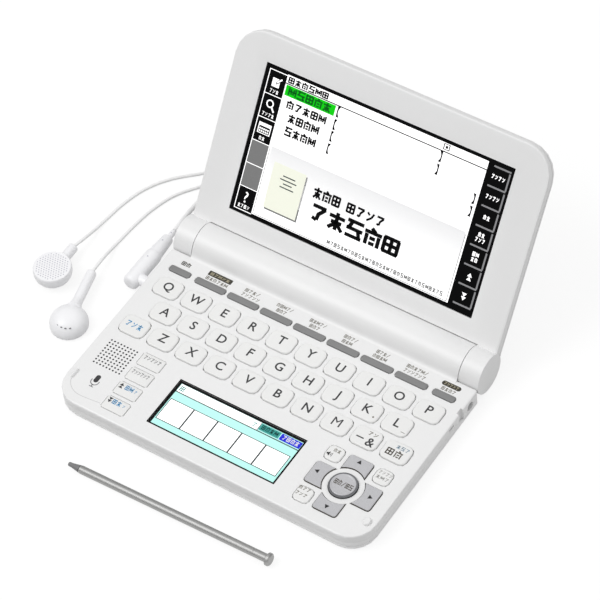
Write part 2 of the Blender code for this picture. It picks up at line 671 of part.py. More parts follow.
def pin_holes(name, radius, inner, outer):
    """Cutter for the pin holes on both sides."""
    return joined(name, [rod_x("c", HINGE_Y, HINGE_HEIGHT, radius, side * inner, side * outer,
                               HINGE_PIN_STEPS) for side in (-1, 1)])


def rest_pad(name, place, size):
    """A small raised pad that the closed lid rests on."""
    def plan(inset):
        half_x, half_y = size[0] / 2 - inset, size[1] / 2 - inset
        corner = min(half_x, half_y) * REST_CORNER_SHARE
        return rounded(place[0] - half_x, place[0] + half_x, place[1] - half_y, place[1] + half_y,
                       corner, corner, steps=KEY_CORNER_STEPS)
    return slab(name, plan, ((0.0, DECK_HEIGHT - REST_SINK), (0.0, DECK_HEIGHT + REST_RISE - REST_SHRINK),
                             (REST_SHRINK, DECK_HEIGHT + REST_RISE)))


def base_upper_case():
    case = slab("base_upper_case", base_plan,
                ((0.0, UPPER_BOTTOM), (0.0, DECK_HEIGHT - DECK_ROUND),
                 (DECK_ROUND * ROUND_SHARE, DECK_HEIGHT - DECK_ROUND * ROUND_SHARE),
                 (DECK_ROUND, DECK_HEIGHT)))
    add(case, barrel_block("barrel_block"))
    cut(case, slab("upper_cavity", cavity_plan, ((0.0, UPPER_BOTTOM - OVERRUN), (0.0, DECK_UNDERSIDE))))
    cut(case, rod_x("battery_bay", HINGE_Y, HINGE_HEIGHT, BAY_RADIUS, -BATTERY_BAY_HALF, BATTERY_BAY_HALF,
                    BARREL_STEPS * 2))
    cut(case, box("battery_doorway", (-BATTERY_BAY_HALF - CLEARANCE, HINGE_Y, UPPER_BOTTOM - OVERRUN),
                  (BATTERY_BAY_HALF + CLEARANCE, HINGE_Y + BARREL_RADIUS + OVERRUN,
                   BATTERY_COVER_TOP + CLEARANCE)))
    cut(case, deck_openings())
    cut(case, side_wall_cuts())
    cut(case, pin_holes("upper_pin_holes", HINGE_PIN_RADIUS + CLEARANCE,
                        BARREL_HALF - HINGE_PIN_LENGTH / 2 - CLEARANCE, BARREL_HALF + OVERRUN))
    add(case, rest_pad("left_rest", LEFT_REST, LEFT_REST_SIZE))
    add(case, rest_pad("right_rest", RIGHT_REST, RIGHT_REST_SIZE))
    return paint(case, WHITE, 0.35)


def barrel_end(name, side):
    """The part of the barrel's end below the parting line."""
    drop = HINGE_HEIGHT - LOWER_TOP
    reach = math.degrees(math.acos(drop / BARREL_RADIUS))
    outline = arc(HINGE_Y, HINGE_HEIGHT, BARREL_RADIUS, -90.0 - reach, -90.0 + reach, BLEND_STEPS * 2)
    inner, outer = BATTERY_BAY_HALF + CLEARANCE, BARREL_HALF
    return along_x(name, outline, side * inner, side * outer)


def posts():
    """(x, y) of the posts that carry the board."""
    return [(sx * (CAVITY_HALF - POST_INSET_X), y) for sx in (-1, 1)
            for y in (CAVITY_FRONT + POST_INSET_FRONT, POST_BACK_Y)]


def base_lower_case():
    case = slab("base_lower_case", base_plan,
                ((BOTTOM_ROUND, 0.0), (BOTTOM_ROUND * ROUND_SHARE, BOTTOM_ROUND * ROUND_SHARE),
                 (0.0, BOTTOM_ROUND), (0.0, LOWER_TOP)))
    back_y = HINGE_Y - (BARREL_RADIUS + CLEARANCE) / 2
    add(case, box("rear_floor", (-BARREL_HALF, CAVITY_BACK, 0.0), (BARREL_HALF, back_y, LOWER_TOP)))
    add(case, joined("barrel_ends", [barrel_end("c", side) for side in (-1, 1)]))
    cut(case, slab("lower_cavity", cavity_plan, ((0.0, FLOOR_THICKNESS), (0.0, LOWER_TOP + OVERRUN))))
    cut(case, rod_x("cover_clearance", HINGE_Y, HINGE_HEIGHT, BARREL_RADIUS + CLEARANCE,
                    -BATTERY_BAY_HALF - CLEARANCE / 2, BATTERY_BAY_HALF + CLEARANCE / 2, BARREL_STEPS * 2))
    top = BOARD_LEVEL - CLEARANCE
    add(case, joined("board_posts", [post("c", x, y, FLOOR_THICKNESS / 2, top, POST_RADIUS, POST_STEPS)
                                     for x, y in posts()]))
    cut(case, joined("screw_holes", [post("c", x, y, -OVERRUN, POST_HOLE_DEPTH, POST_HOLE_RADIUS, POST_STEPS)
                                     for x, y in posts()]))
    return paint(case, WHITE, 0.4)


def battery_cover():
    """The curved cover under and behind the cells."""
    outer = arc(HINGE_Y, HINGE_HEIGHT, BARREL_RADIUS, COVER_ARC_START, COVER_ARC_END, BARREL_STEPS)
    inner = arc(HINGE_Y, HINGE_HEIGHT, BAY_RADIUS, COVER_ARC_END, COVER_ARC_START, BARREL_STEPS)
    half = BATTERY_BAY_HALF - CLEARANCE
    cover = along_x("battery_cover", outer + inner, -half, half)
    cut(cover, box("cover_front", (-BASE_HALF, HINGE_Y - BARREL_RADIUS - OVERRUN, LOWER_TOP),
                   (BASE_HALF, HINGE_Y, HINGE_HEIGHT + BARREL_RADIUS)))
    cut(cover, box("cover_back", (-BASE_HALF, HINGE_Y, BATTERY_COVER_TOP),
                   (BASE_HALF, HINGE_Y + BARREL_RADIUS + OVERRUN, HINGE_HEIGHT + BARREL_RADIUS)))
    return paint(cover, WHITE, 0.4)


def battery(name, side):
    """A cell in the barrel, its nub towards the middle on the left and outwards on the right."""
    body = turned(name, ((0.0, 0.0), (CELL_RADIUS, 0.0), (CELL_RADIUS, CELL_LENGTH),
                         (CELL_NUB_RADIUS, CELL_LENGTH), (CELL_NUB_RADIUS, CELL_LENGTH + CELL_NUB_LENGTH),
                         (0.0, CELL_LENGTH + CELL_NUB_LENGTH)), CELL_STEPS)
    body.rotation_euler = (0.0, math.radians(90.0), 0.0)
    full = CELL_LENGTH + CELL_NUB_LENGTH
    start = -full - CLEARANCE / 2 if side < 0 else CLEARANCE / 2
    body.location = (start, HINGE_Y, HINGE_HEIGHT)
    return paint(body, STEEL, 0.35, 0.6)


def hinge_pin(name, side):
    """The steel pin that carries the lid's ear."""
    half = HINGE_PIN_LENGTH / 2 - CLEARANCE
    pin = rod_x(name, 0.0, 0.0, HINGE_PIN_RADIUS, -half, half, HINGE_PIN_STEPS)
    pin.location = (side * BARREL_HALF, HINGE_Y, HINGE_HEIGHT)
    return paint(pin, STEEL, 0.3, 1.0)


def under_plan(extra):
    """Plan of the board and the mat, inside the case wall and in front of the stylus bay."""
    back = STYLUS_BAY_Y - STYLUS_BAY_RADIUS - CLEARANCE
    return rounded(-CAVITY_HALF + extra, CAVITY_HALF - extra, CAVITY_FRONT + extra, back,
                   CASE_CORNER_RADIUS - CASE_WALL, REAR_CORNER_RADIUS)


def jack_space(name, low, high):
    """Cutter that keeps the board and the mat off the jack."""
    half = JACK_BODY_WIDTH / 2 + CLEARANCE
    return box(name, (-CAVITY_HALF - OVERRUN, JACK_Y - half, low),
               (-CAVITY_HALF + JACK_BODY_LENGTH + CLEARANCE * 2, JACK_Y + half, high))


def main_board():
    top = BOARD_LEVEL + BOARD_THICKNESS
    board = slab("main_board", lambda inset: under_plan(BOARD_MARGIN), ((0.0, BOARD_LEVEL), (0.0, top)))
    chips = []
    for x_share, y_share, width_share, depth_share in CHIP_SHARES:
        x, y = x_share * CAVITY_HALF, y_share * STYLUS_BAY_Y
        half_width, half_depth = width_share * CHIP_SIDE / 2, depth_share * CHIP_SIDE / 2
        chips.append(box("c", (x - half_width, y - half_depth, top - CHIP_SINK),
                         (x + half_width, y + half_depth, top + CHIP_HEIGHT)))
    add(board, joined("chips", chips))
    cut(board, jack_space("board_jack_space", BOARD_LEVEL - OVERRUN, top + OVERRUN))
    return paint(board, GREEN, 0.5)


def key_mat():
    """Rubber mat with a dome under each lettered key."""
    top = MAT_LEVEL + MAT_THICKNESS
    mat = slab("key_mat", lambda inset: under_plan(BOARD_MARGIN), ((0.0, MAT_LEVEL), (0.0, top)))
    domes = [post("c", x, y, top - DOME_SINK, DOME_TOP, DOME_RADIUS, DOME_STEPS) for _, x, y in main_keys()
             if x > -CAVITY_HALF + JACK_BODY_LENGTH + DOME_RADIUS or y < JACK_Y - JACK_BODY_WIDTH]
    add(mat, joined("domes", domes))
    cut(mat, jack_space("mat_jack_space", MAT_LEVEL - OVERRUN, top + OVERRUN))
    margin = PANEL_FLANGE + CLEARANCE
    cut(mat, box("mat_panel_space", (PANEL_LEFT - margin, CAVITY_FRONT - OVERRUN, MAT_LEVEL - OVERRUN),
                 (PANEL_RIGHT + margin, PANEL_BACK + margin, top + OVERRUN)))
    cut(mat, post("mat_speaker_space", GRILLE_X, GRILLE_Y, MAT_LEVEL - OVERRUN, top + OVERRUN,
                  SPEAKER_RADIUS + CLEARANCE, SPEAKER_STEPS))
    return paint(mat, RUBBER, 0.7)


def handwriting_panel():
    top = DECK_HEIGHT - PANEL_DEPTH

    def plan(grow):
        return [Vector((x, y)) for x, y in (
            (PANEL_LEFT - grow, PANEL_FRONT - grow), (PANEL_RIGHT + grow, PANEL_FRONT - grow),
            (PANEL_RIGHT + grow, PANEL_BACK + grow), (PANEL_LEFT - grow, PANEL_BACK + grow))]
    panel = slab("handwriting_panel", plan,
                 ((PANEL_FLANGE, FLANGE_TOP - PANEL_BODY_THICKNESS), (PANEL_FLANGE, FLANGE_TOP),
                  (-CLEARANCE, FLANGE_TOP), (-CLEARANCE, top)))
    return paint(panel, BLACK, 0.1)


def speaker():
    """Round speaker that hangs under the grille."""
    top = DECK_UNDERSIDE - CLEARANCE
    body = post("speaker", 0.0, 0.0, top - SPEAKER_HEIGHT, top, SPEAKER_RADIUS, SPEAKER_STEPS)
    body.location = (GRILLE_X, GRILLE_Y, 0.0)
    return paint(body, BLACK, 0.5)


def earphone_jack():
    left = -CAVITY_HALF + CLEARANCE
    body = box("earphone_jack", (left, JACK_Y - JACK_BODY_WIDTH / 2, FLOOR_THICKNESS + CLEARANCE),
               (-CAVITY_HALF + JACK_BODY_LENGTH, JACK_Y + JACK_BODY_WIDTH / 2, JACK_BODY_TOP))
    cut(body, rod_x("jack_bore", JACK_Y, JACK_HEIGHT, JACK_BORE_RADIUS, left - OVERRUN,
                    left + PLUG_PIN_LENGTH - CASE_WALL, JACK_STEPS))
    return paint(body, BLACK, 0.4)


# Keys

def key(name, x, y, width, depth, corner, rise):
    """A key cap with a flange that keeps it under the deck."""
    def plan(grow):
        radius = corner + max(grow, -corner * LEAST_KEY_CORNER_SHARE)
        return rounded(-width / 2 - grow, width / 2 + grow, -depth / 2 - grow, depth / 2 + grow,
                       radius, radius, steps=corner_steps(corner))
    top = DECK_HEIGHT + rise
    obj = slab(name, plan, ((KEY_FLANGE, FLANGE_BOTTOM), (KEY_FLANGE, FLANGE_TOP), (0.0, FLANGE_TOP),
                            (0.0, top - min(KEY_EDGE_ROUND, rise * EDGE_RISE_SHARE)), (-KEY_EDGE_ROUND, top)))
    obj.location = (x, y, 0.0)
    return obj


def key_group(name, members, web):
    """Several caps on one web under the deck: members are (x, y, width, depth, corner, rise)."""
    bars = [key("c", *member) for member in members]
    for bar in bars:
        bar.data.transform(Matrix.Translation(bar.location))
    body = box(name, *web)
    return add(body, joined(name + "_caps", bars))


def function_key_strip():
    reach = FUNCTION_END_X + FUNCTION_END_WIDTH / 2 + KEY_FLANGE / 2
    half = FUNCTION_DEPTH / 2 + KEY_FLANGE / 2
    web = ((-reach, FUNCTION_Y - half, FLANGE_BOTTOM + FLANGE_THICKNESS * WEB_INSET_SHARE),
           (reach, FUNCTION_Y + half, FLANGE_TOP - FLANGE_THICKNESS * WEB_INSET_SHARE))
    members = [(x, FUNCTION_Y, width, FUNCTION_DEPTH, FUNCTION_CORNER, FUNCTION_RISE)
               for x, width in function_keys()]
    return paint(key_group("function_key_strip", members, web), GREY, 0.45)


def side_key_strip():
    ys = side_keys()
    half = SIDE_KEY_WIDTH / 2 - SIDE_KEY_CORNER
    inset = FLANGE_THICKNESS * WEB_INSET_SHARE
    web = ((SIDE_KEY_X - half, ys[-1] - SIDE_KEY_DEPTH / 3, FLANGE_BOTTOM + inset),
           (SIDE_KEY_X + half, ys[0] + SIDE_KEY_DEPTH / 3, FLANGE_TOP - inset))
    members = [(SIDE_KEY_X, y, SIDE_KEY_WIDTH, SIDE_KEY_DEPTH, SIDE_KEY_CORNER, SIDE_KEY_RISE) for y in ys]
    return paint(key_group("side_key_strip", members, web), WHITE, 0.4)


def arrow_keys():
    """Four arrow caps on a carrier that leaves the enter key free."""
    half = ARROW_WIDTH / 2 + KEY_FLANGE
    carrier = box("arrow_keys", (PAD_X - ARROW_REACH_X - KEY_FLANGE, PAD_Y - half, FLANGE_BOTTOM),
                  (PAD_X + ARROW_REACH_X + KEY_FLANGE, PAD_Y + half, FLANGE_TOP))
    inset = FLANGE_THICKNESS * WEB_INSET_SHARE / 2
    add(carrier, box("carrier_arm", (PAD_X - half + inset, PAD_Y - ARROW_REACH_Y - KEY_FLANGE,
                                     FLANGE_BOTTOM + inset),
                     (PAD_X + half - inset, PAD_Y + ARROW_REACH_Y + KEY_FLANGE, FLANGE_TOP - inset)))
    top = DECK_HEIGHT + ARROW_RISE
    levels = ((0.0, FLANGE_TOP - FLANGE_THICKNESS / 2), (0.0, top - KEY_EDGE_ROUND / 2),
              (KEY_EDGE_ROUND / 2, top))
    add(carrier, joined("arrow_caps", [arrow_solid("c", i, 0.0, levels) for i in range(ARROW_COUNT)]))
    cut(carrier, post("enter_space", PAD_X, PAD_Y, FLANGE_BOTTOM - OVERRUN, FLANGE_TOP + OVERRUN,
                      ENTER_RADIUS + KEY_FLANGE + CLEARANCE, ENTER_STEPS))
    return paint(carrier, SILVER, 0.3, 0.6)


def enter_key():
    top = DECK_HEIGHT + ENTER_RISE
    flange = ENTER_RADIUS + KEY_FLANGE
    profile = ((0.0, FLANGE_BOTTOM), (flange, FLANGE_BOTTOM), (flange, FLANGE_TOP),
               (ENTER_RADIUS, FLANGE_TOP), (ENTER_RADIUS, top - KEY_EDGE_ROUND),
               (ENTER_RADIUS - KEY_EDGE_ROUND, top), (0.0, top))
    obj = turned("enter_key", profile, ENTER_STEPS)
    obj.location = (PAD_X, PAD_Y, 0.0)
    return paint(obj, SILVER, 0.25, 0.8)


def keyboard():
    for name, x, y in main_keys():
        paint(key(name, x, y, KEY_WIDTH, KEY_DEPTH, KEY_CORNER, KEY_RISE), WHITE, 0.35)
    for name, x, y in quick_keys():
        paint(key(name, x, y, QUICK_KEY_SIZE, QUICK_KEY_SIZE, QUICK_KEY_CORNER, QUICK_KEY_RISE), WHITE, 0.35)
    function_key_strip()
    side_key_strip()
    arrow_keys()
    enter_key()


# Lid, modelled closed and turned open by its axis

def lid_axis():
    axis = bpy.data.objects.new("lid_axis", None)
    bpy.context.collection.objects.link(axis)
    axis.location = (0.0, HINGE_Y, HINGE_HEIGHT)
    axis.rotation_euler = (math.radians(-OPEN_ANGLE), 0.0, 0.0)
    return axis


def heel_cut(name, half):
    """Room for the barrel at the lid's heel."""
    return rod_x(name, 0.0, 0.0, BARREL_RADIUS + CLEARANCE, -half, half, BARREL_STEPS * 2)


def lid_cavity(name, low, high):
    start = -(BARREL_RADIUS + CLEARANCE + LID_HEEL_WALL)
    plan = rounded(-LID_HALF + LID_WALL, LID_HALF - LID_WALL, -LID_REACH + LID_WALL, start,
                   LID_CORNER_RADIUS - LID_WALL, REAR_CORNER_RADIUS)
    return lofted(name, [[(p.x, p.y, z) for p in plan] for z in (low, high)])


def window_cut(name):
    """The window with its sloped rim."""
    front, back = -WINDOW_REACH - WINDOW_LENGTH, -WINDOW_REACH
    half = WINDOW_HALF
    slope = WINDOW_SLOPE_WIDTH / WINDOW_DEPTH

    def ring(grow, height):
        return [(-half - grow, front - grow, height), (half + grow, front - grow, height),
                (half + grow, back + grow, height), (-half - grow, back + grow, height)]
    return lofted(name, [ring(WINDOW_SLOPE_WIDTH + slope * CLEARANCE, LID_FACE_HEIGHT - CLEARANCE),
                         ring(0.0, LID_FACE_HEIGHT + WINDOW_DEPTH),
                         ring(0.0, LID_FACE_HEIGHT + LID_FACE_THICKNESS + OVERRUN)])


def lid_front_bezel(axis):
    top = LID_PARTING - CLEARANCE / 2
    bezel = slab("lid_front_bezel", lid_plan,
                 ((LID_FACE_ROUND, LID_FACE_HEIGHT),
                  (LID_FACE_ROUND * ROUND_SHARE, LID_FACE_HEIGHT + LID_FACE_ROUND * ROUND_SHARE),
                  (0.0, LID_FACE_HEIGHT + LID_FACE_ROUND), (0.0, top)))
    bezel.parent = axis
    cut(bezel, heel_cut("bezel_heel", EAR_INNER))
    cut(bezel, lid_cavity("bezel_cavity", LID_FACE_HEIGHT + LID_FACE_THICKNESS, top + OVERRUN))
    cut(bezel, window_cut("bezel_window"))
    ears = [rod_x("c", 0.0, 0.0, BARREL_RADIUS, side * EAR_INNER, side * LID_HALF, BARREL_STEPS * 2)
            for side in (-1, 1)]
    add(bezel, joined("ears", ears))
    bores = [rod_x("c", 0.0, 0.0, HINGE_PIN_RADIUS + CLEARANCE, side * (EAR_INNER - OVERRUN),
                   side * (BARREL_HALF + HINGE_PIN_LENGTH / 2), HINGE_PIN_STEPS) for side in (-1, 1)]
    cut(bezel, joined("ear_bores", bores))
    return paint(bezel, WHITE, 0.35)


def lid_back_cover(axis):
    low = LID_PARTING + CLEARANCE / 2
    cover = slab("lid_back_cover", lid_plan,
                 ((0.0, low), (0.0, LID_TOP - LID_BACK_ROUND),
                  (LID_BACK_ROUND * ROUND_SHARE, LID_TOP - LID_BACK_ROUND * ROUND_SHARE),
                  (LID_BACK_ROUND, LID_TOP)))
    cover.parent = axis
    cut(cover, heel_cut("cover_heel", LID_HALF + OVERRUN))
    cut(cover, lid_cavity("cover_cavity", low - OVERRUN, LID_TOP - LID_BACK_THICKNESS))
    return paint(cover, WHITE, 0.35)


def main_display(axis):
    """Display glass in the window, its flange behind the bezel."""
    front, back = -WINDOW_REACH - WINDOW_LENGTH, -WINDOW_REACH
    half = WINDOW_HALF
    rim = LID_FACE_HEIGHT + LID_FACE_THICKNESS + CLEARANCE

    def plan(grow):
        return [Vector((x, y)) for x, y in ((-half - grow, front - grow), (half + grow, front - grow),
                                            (half + grow, back + grow), (-half - grow, back + grow))]
    display = slab("main_display", plan,
                   ((-CLEARANCE, LID_FACE_HEIGHT + WINDOW_DEPTH), (-CLEARANCE, rim), (DISPLAY_FLANGE, rim),
                    (DISPLAY_FLANGE, rim + DISPLAY_FLANGE_THICKNESS)))
    display.parent = axis
    return paint(display, BLACK, 0.1)


# Stylus

def stylus():
    full = STYLUS_LENGTH
    cone = STYLUS_NIB_LENGTH + STYLUS_CONE_LENGTH
    neck = full - STYLUS_HEAD_LENGTH
    cone_share, radius_share = STYLUS_CONE_SHARES
    profile = ((0.0, 0.0), (STYLUS_NIB_RADIUS, 0.0),
               (STYLUS_NIB_RADIUS * STYLUS_NIB_END_SHARE, STYLUS_NIB_LENGTH),
               (STYLUS_RADIUS * radius_share, cone - STYLUS_CONE_LENGTH * cone_share), (STYLUS_RADIUS, cone),
               (STYLUS_RADIUS, neck), (STYLUS_HEAD_RADIUS, neck), (STYLUS_HEAD_RADIUS, full), (0.0, full))
    pen = turned("stylus", profile, STYLUS_STEPS)
    lean = math.asin((STYLUS_HEAD_RADIUS - STYLUS_RADIUS) / (neck - cone))
    pen.rotation_euler = (0.0, math.radians(90.0) - lean, math.radians(STYLUS_TURN))
    rise = STYLUS_RADIUS * math.cos(lean) - cone * math.sin(lean)
    pen.location = (*STYLUS_TIP, rise + CLEARANCE / 6)
    return paint(pen, STEEL, 0.25, 1.0)


# Earphones

def smooth_route(points, spacing):
    """Evenly spaced points on a smooth curve through the route's points."""
    route = [Vector(p) for p in points]
    route = [2 * route[0] - route[1], *route, 2 * route[-1] - route[-2]]
    dense = []
    for a, b, c, d in zip(route, route[1:], route[2:], route[3:]):
        for i in range(CORD_CURVE_STEPS):
            t = i / CORD_CURVE_STEPS
            dense.append(0.5 * (2 * b + (c - a) * t + (2 * a - 5 * b + 4 * c - d) * t ** 2
                                + (3 * b - a - 3 * c + d) * t ** 3))
    dense.append(route[-2])
    kept = [dense[0]]
    for point in dense:
        if (point - kept[-1]).length >= spacing:
            kept.append(point)
    if (dense[-1] - kept[-1]).length < spacing / 2:
        kept.pop()
    return kept + [dense[-1]]


def tube(name, points, radius, resolution):
    """A cord as a curve with a round bevel and filled ends."""
    curve = bpy.data.curves.new(name, "CURVE")
    curve.dimensions = "3D"
    curve.bevel_depth = radius
    curve.bevel_resolution = resolution
    curve.use_fill_caps = True
    spline = curve.splines.new("POLY")
    spline.points.add(len(points) - 1)
    for target, point in zip(spline.points, points):
        target.co = (*point, 1.0)
    obj = bpy.data.objects.new(name, curve)
    bpy.context.collection.objects.link(obj)
    return paint(obj, WHITE, 0.5)


def eased(share):
    """A share from 0 to 1 that starts and stops gently."""
    return share * share * (3 - 2 * share)


def coil_points():
    """The wound lead: a spiral in on the table, a climb, and a spiral out on top, then a tail down."""
    turns = 2 * COIL_LAYER_TURNS
    span = COIL_PITCH * COIL_LAYER_TURNS
    outer = COIL_MID_RADIUS + span / 2
    count = round(turns * COIL_LOOP_POINTS)
    points = []
    for i in range(count + 1):
        t = turns * i / count
        radius = outer - COIL_PITCH * (t if t < COIL_LAYER_TURNS else turns - t)
        climb = min(max((t - COIL_LAYER_TURNS) / COIL_CLIMB_TURNS + 1 / 2, 0.0), 1.0)
        height = LEAD_RADIUS + COIL_PITCH * eased(climb)
        angle = 2 * math.pi * t + math.radians(COIL_START)
        x, y = COIL_X + radius * math.cos(angle), COIL_Y + radius * math.sin(angle)
        points.append(Vector((x, y, height)))
    first, last = points[0], points[-1]
    points.insert(0, first - Vector((2 * LEAD_RADIUS, 0.0, 0.0)))
    for i in range(1, COIL_TAIL_POINTS + 1):
        share = i / COIL_TAIL_POINTS
        points.append(last - Vector((COIL_TAIL * share, 0.0, COIL_PITCH * eased(share))))
    points.append(points[-1] - Vector((2 * LEAD_RADIUS, 0.0, 0.0)))
    return points


def least_self_gap(points, radius):
    """The least distance between stretches of the tube that aren't neighbours, less its diameter."""
    least = math.inf
    apart = COIL_LOOP_POINTS // 2
    for i, a in enumerate(points):
        for b in points[i + apart:]:
            least = min(least, (a - b).length)
    return least - 2 * radius


def earphone_plug():
    """Right-angled plug: a pin into the jack and a handle along the wall, with its strain relief."""
    axis_x = -BASE_HALF - PLUG_GAP - PLUG_RADIUS
    front, shoulder = -PLUG_FRONT, PLUG_SHOULDER
    nose_share, neck_share, relief_share = PLUG_TAPER_SHARES
    profile = ((0.0, front), (PLUG_RADIUS * nose_share, front), (PLUG_RADIUS, front + PLUG_NOSE),
               (PLUG_RADIUS, shoulder), (PLUG_NECK_RADIUS, shoulder + PLUG_NOSE),
               (PLUG_NECK_RADIUS * neck_share, PLUG_NECK_END), (PLUG_RELIEF_RADIUS, PLUG_NECK_END),
               (PLUG_RELIEF_RADIUS * relief_share, PLUG_RELIEF_END), (0.0, PLUG_RELIEF_END))
    body = turned("earphone_plug", profile, PLUG_STEPS)
    body.data.transform(Matrix.Rotation(math.radians(-90.0), 4, "X"))
    body.data.transform(Matrix.Translation((axis_x, JACK_Y, JACK_HEIGHT)))
    wall = -BASE_HALF
    add(body, rod_x("plug_boss", JACK_Y, JACK_HEIGHT, PLUG_BOSS_RADIUS, axis_x, wall - CLEARANCE, JACK_STEPS))
    add(body, rod_x("plug_pin", JACK_Y, JACK_HEIGHT, PLUG_PIN_RADIUS, wall - OVERRUN, wall + PLUG_PIN_LENGTH,
                    JACK_STEPS))
    return paint(body, WHITE, 0.4)


def plug_end():
    """Where the lead leaves the plug's strain relief."""
    return Vector((-BASE_HALF - PLUG_GAP - PLUG_RADIUS, JACK_Y + PLUG_RELIEF_END + CLEARANCE, JACK_HEIGHT))


def splitter_end(first_y):
    """Where the branches leave the splitter, at its middle."""
    tail = coil_points()[-1]
    return Vector((tail.x - CLEARANCE - SPLITTER_LENGTH - CLEARANCE, tail.y + first_y, LEAD_RADIUS))


def cord_splitter():
    tail = coil_points()[-1]
    right = tail.x - CLEARANCE
    half = SPLITTER_WIDTH / 2

    def plan(inset):
        return rounded(right - SPLITTER_LENGTH, right, tail.y - half + inset, tail.y + half - inset,
                       SPLITTER_CORNER, SPLITTER_CORNER, steps=KEY_CORNER_STEPS)
    body = slab("cord_splitter", plan,
                ((SPLITTER_CORNER / 2, CLEARANCE / 6), (0.0, SPLITTER_CORNER / 2),
                 (0.0, SPLITTER_HEIGHT - SPLITTER_CORNER / 2), (SPLITTER_CORNER / 2, SPLITTER_HEIGHT)))
    return paint(body, WHITE, 0.45)


def earbud(name, place, shares, stem_length, stem_turn):
    """A bud turned round the upright axis, with its stem lying towards the cord."""
    length_share, radius_share = STEM_TAPER_SHARES
    profile = [(r * BUD_RADIUS, h * BUD_HEIGHT) for r, h in shares]
    bud = turned(name, profile, BUD_STEPS)
    stem = turned(name + "_stem", ((0.0, 0.0), (STEM_RADIUS, 0.0), (STEM_RADIUS, stem_length * length_share),
                                   (STEM_RADIUS * radius_share, stem_length), (0.0, stem_length)), STEM_STEPS)
    stem.data.transform(Matrix.Rotation(math.radians(stem_turn), 4, "Z")
                        @ Matrix.Rotation(math.radians(-90.0), 4, "X"))
    stem.data.transform(Matrix.Translation((0.0, 0.0, STEM_HEIGHT)))
    for obj in (bud, stem):
        obj.data.transform(Matrix.Translation((*place, 0.0)))
    add(bud, stem)
    return paint(bud, WHITE, 0.3)


def stem_end(place, stem_length, stem_turn):
    """Where the cord enters a stem."""
    turn = math.radians(stem_turn)
    reach = stem_length + CLEARANCE
    return Vector((place[0] - reach * math.sin(turn), place[1] + reach * math.cos(turn), STEM_HEIGHT))


def earphones():
    earphone_plug()
    coil = coil_points()
    print("coil: least gap to itself %.2f mm" % (least_self_gap(coil, LEAD_RADIUS) * 1000))
    tube("earphone_coil", coil, LEAD_RADIUS, 1)
    into_coil = coil[0] - Vector((CLEARANCE, 0.0, 0.0))
    lead = [plug_end(), *LEAD_ROUTE, into_coil - Vector((4 * LEAD_RADIUS, 0.0, 0.0)), into_coil]
    tube("earphone_lead", smooth_route(lead, 2 * LEAD_RADIUS * CORD_POINT_SPACING), LEAD_RADIUS, 2)
    cord_splitter()
    for name, route, side, place, length, turn in (
            ("branch_cord_left", BRANCH_UP_ROUTE, 1, BUD_UP, BUD_UP_STEM_LENGTH, BUD_UP_STEM_TURN),
            ("branch_cord_right", BRANCH_DOWN_ROUTE, -1, BUD_DOWN, BUD_DOWN_STEM_LENGTH, BUD_DOWN_STEM_TURN)):
        start = splitter_end(side * BRANCH_SPACING / 2)
        end = stem_end(place, length, turn)
        points = [start, start - Vector((4 * BRANCH_RADIUS, 0.0, 0.0)), *route, end]
        tube(name, smooth_route(points, 2 * BRANCH_RADIUS * CORD_POINT_SPACING), BRANCH_RADIUS, 2)
    earbud("earbud_left", BUD_UP, BUD_UP_SHARES, BUD_UP_STEM_LENGTH, BUD_UP_STEM_TURN)
    earbud("earbud_right", BUD_DOWN, BUD_DOWN_SHARES, BUD_DOWN_STEM_LENGTH, BUD_DOWN_STEM_TURN)


def main():
    for obj in list(bpy.data.objects):
        bpy.data.objects.remove(obj)
    base_upper_case()
    base_lower_case()
    battery_cover()
    battery("battery_left", -1)
    battery("battery_right", 1)
    hinge_pin("hinge_pin_left", -1)
    hinge_pin("hinge_pin_right", 1)
    main_board()
    key_mat()
    handwriting_panel()
    speaker()
    earphone_jack()
    keyboard()
    axis = lid_axis()
    lid_front_bezel(axis)
    lid_back_cover(axis)
    main_display(axis)
    stylus()
    earphones()


main()
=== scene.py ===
"""The looks of an electronic dictionary: hinged case, keyboard, two displays, stylus and earphones.

Metres, +Z up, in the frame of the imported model. Sizes in the classes are in millimetres.
"""

import json
import logging
import math
from contextlib import contextmanager
from dataclasses import dataclass
from enum import Enum
from typing import Iterator, Sequence

import bmesh
import bpy
from mathutils import Matrix, Vector, geometry


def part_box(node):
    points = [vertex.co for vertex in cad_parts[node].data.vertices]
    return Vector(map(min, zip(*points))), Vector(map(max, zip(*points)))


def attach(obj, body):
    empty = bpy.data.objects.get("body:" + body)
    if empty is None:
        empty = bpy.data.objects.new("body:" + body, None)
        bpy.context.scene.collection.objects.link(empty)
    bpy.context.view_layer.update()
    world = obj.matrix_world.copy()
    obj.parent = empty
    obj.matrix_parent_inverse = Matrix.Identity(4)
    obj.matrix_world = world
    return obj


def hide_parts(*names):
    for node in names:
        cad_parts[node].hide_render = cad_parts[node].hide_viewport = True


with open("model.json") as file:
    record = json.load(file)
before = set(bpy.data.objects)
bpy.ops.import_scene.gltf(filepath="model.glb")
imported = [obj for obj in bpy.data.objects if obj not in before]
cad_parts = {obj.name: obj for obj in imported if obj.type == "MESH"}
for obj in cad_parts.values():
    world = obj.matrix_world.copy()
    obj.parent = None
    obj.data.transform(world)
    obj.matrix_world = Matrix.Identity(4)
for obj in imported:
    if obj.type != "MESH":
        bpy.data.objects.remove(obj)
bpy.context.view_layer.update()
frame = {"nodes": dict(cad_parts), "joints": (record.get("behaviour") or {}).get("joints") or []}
MM = 0.001
INK_THICKNESS = 0.03
LAYER = 0.02
Object = bpy.types.Object
Material = bpy.types.Material
Point = Sequence[float]
log = logging.getLogger("dictionary")


# Colours and nodes

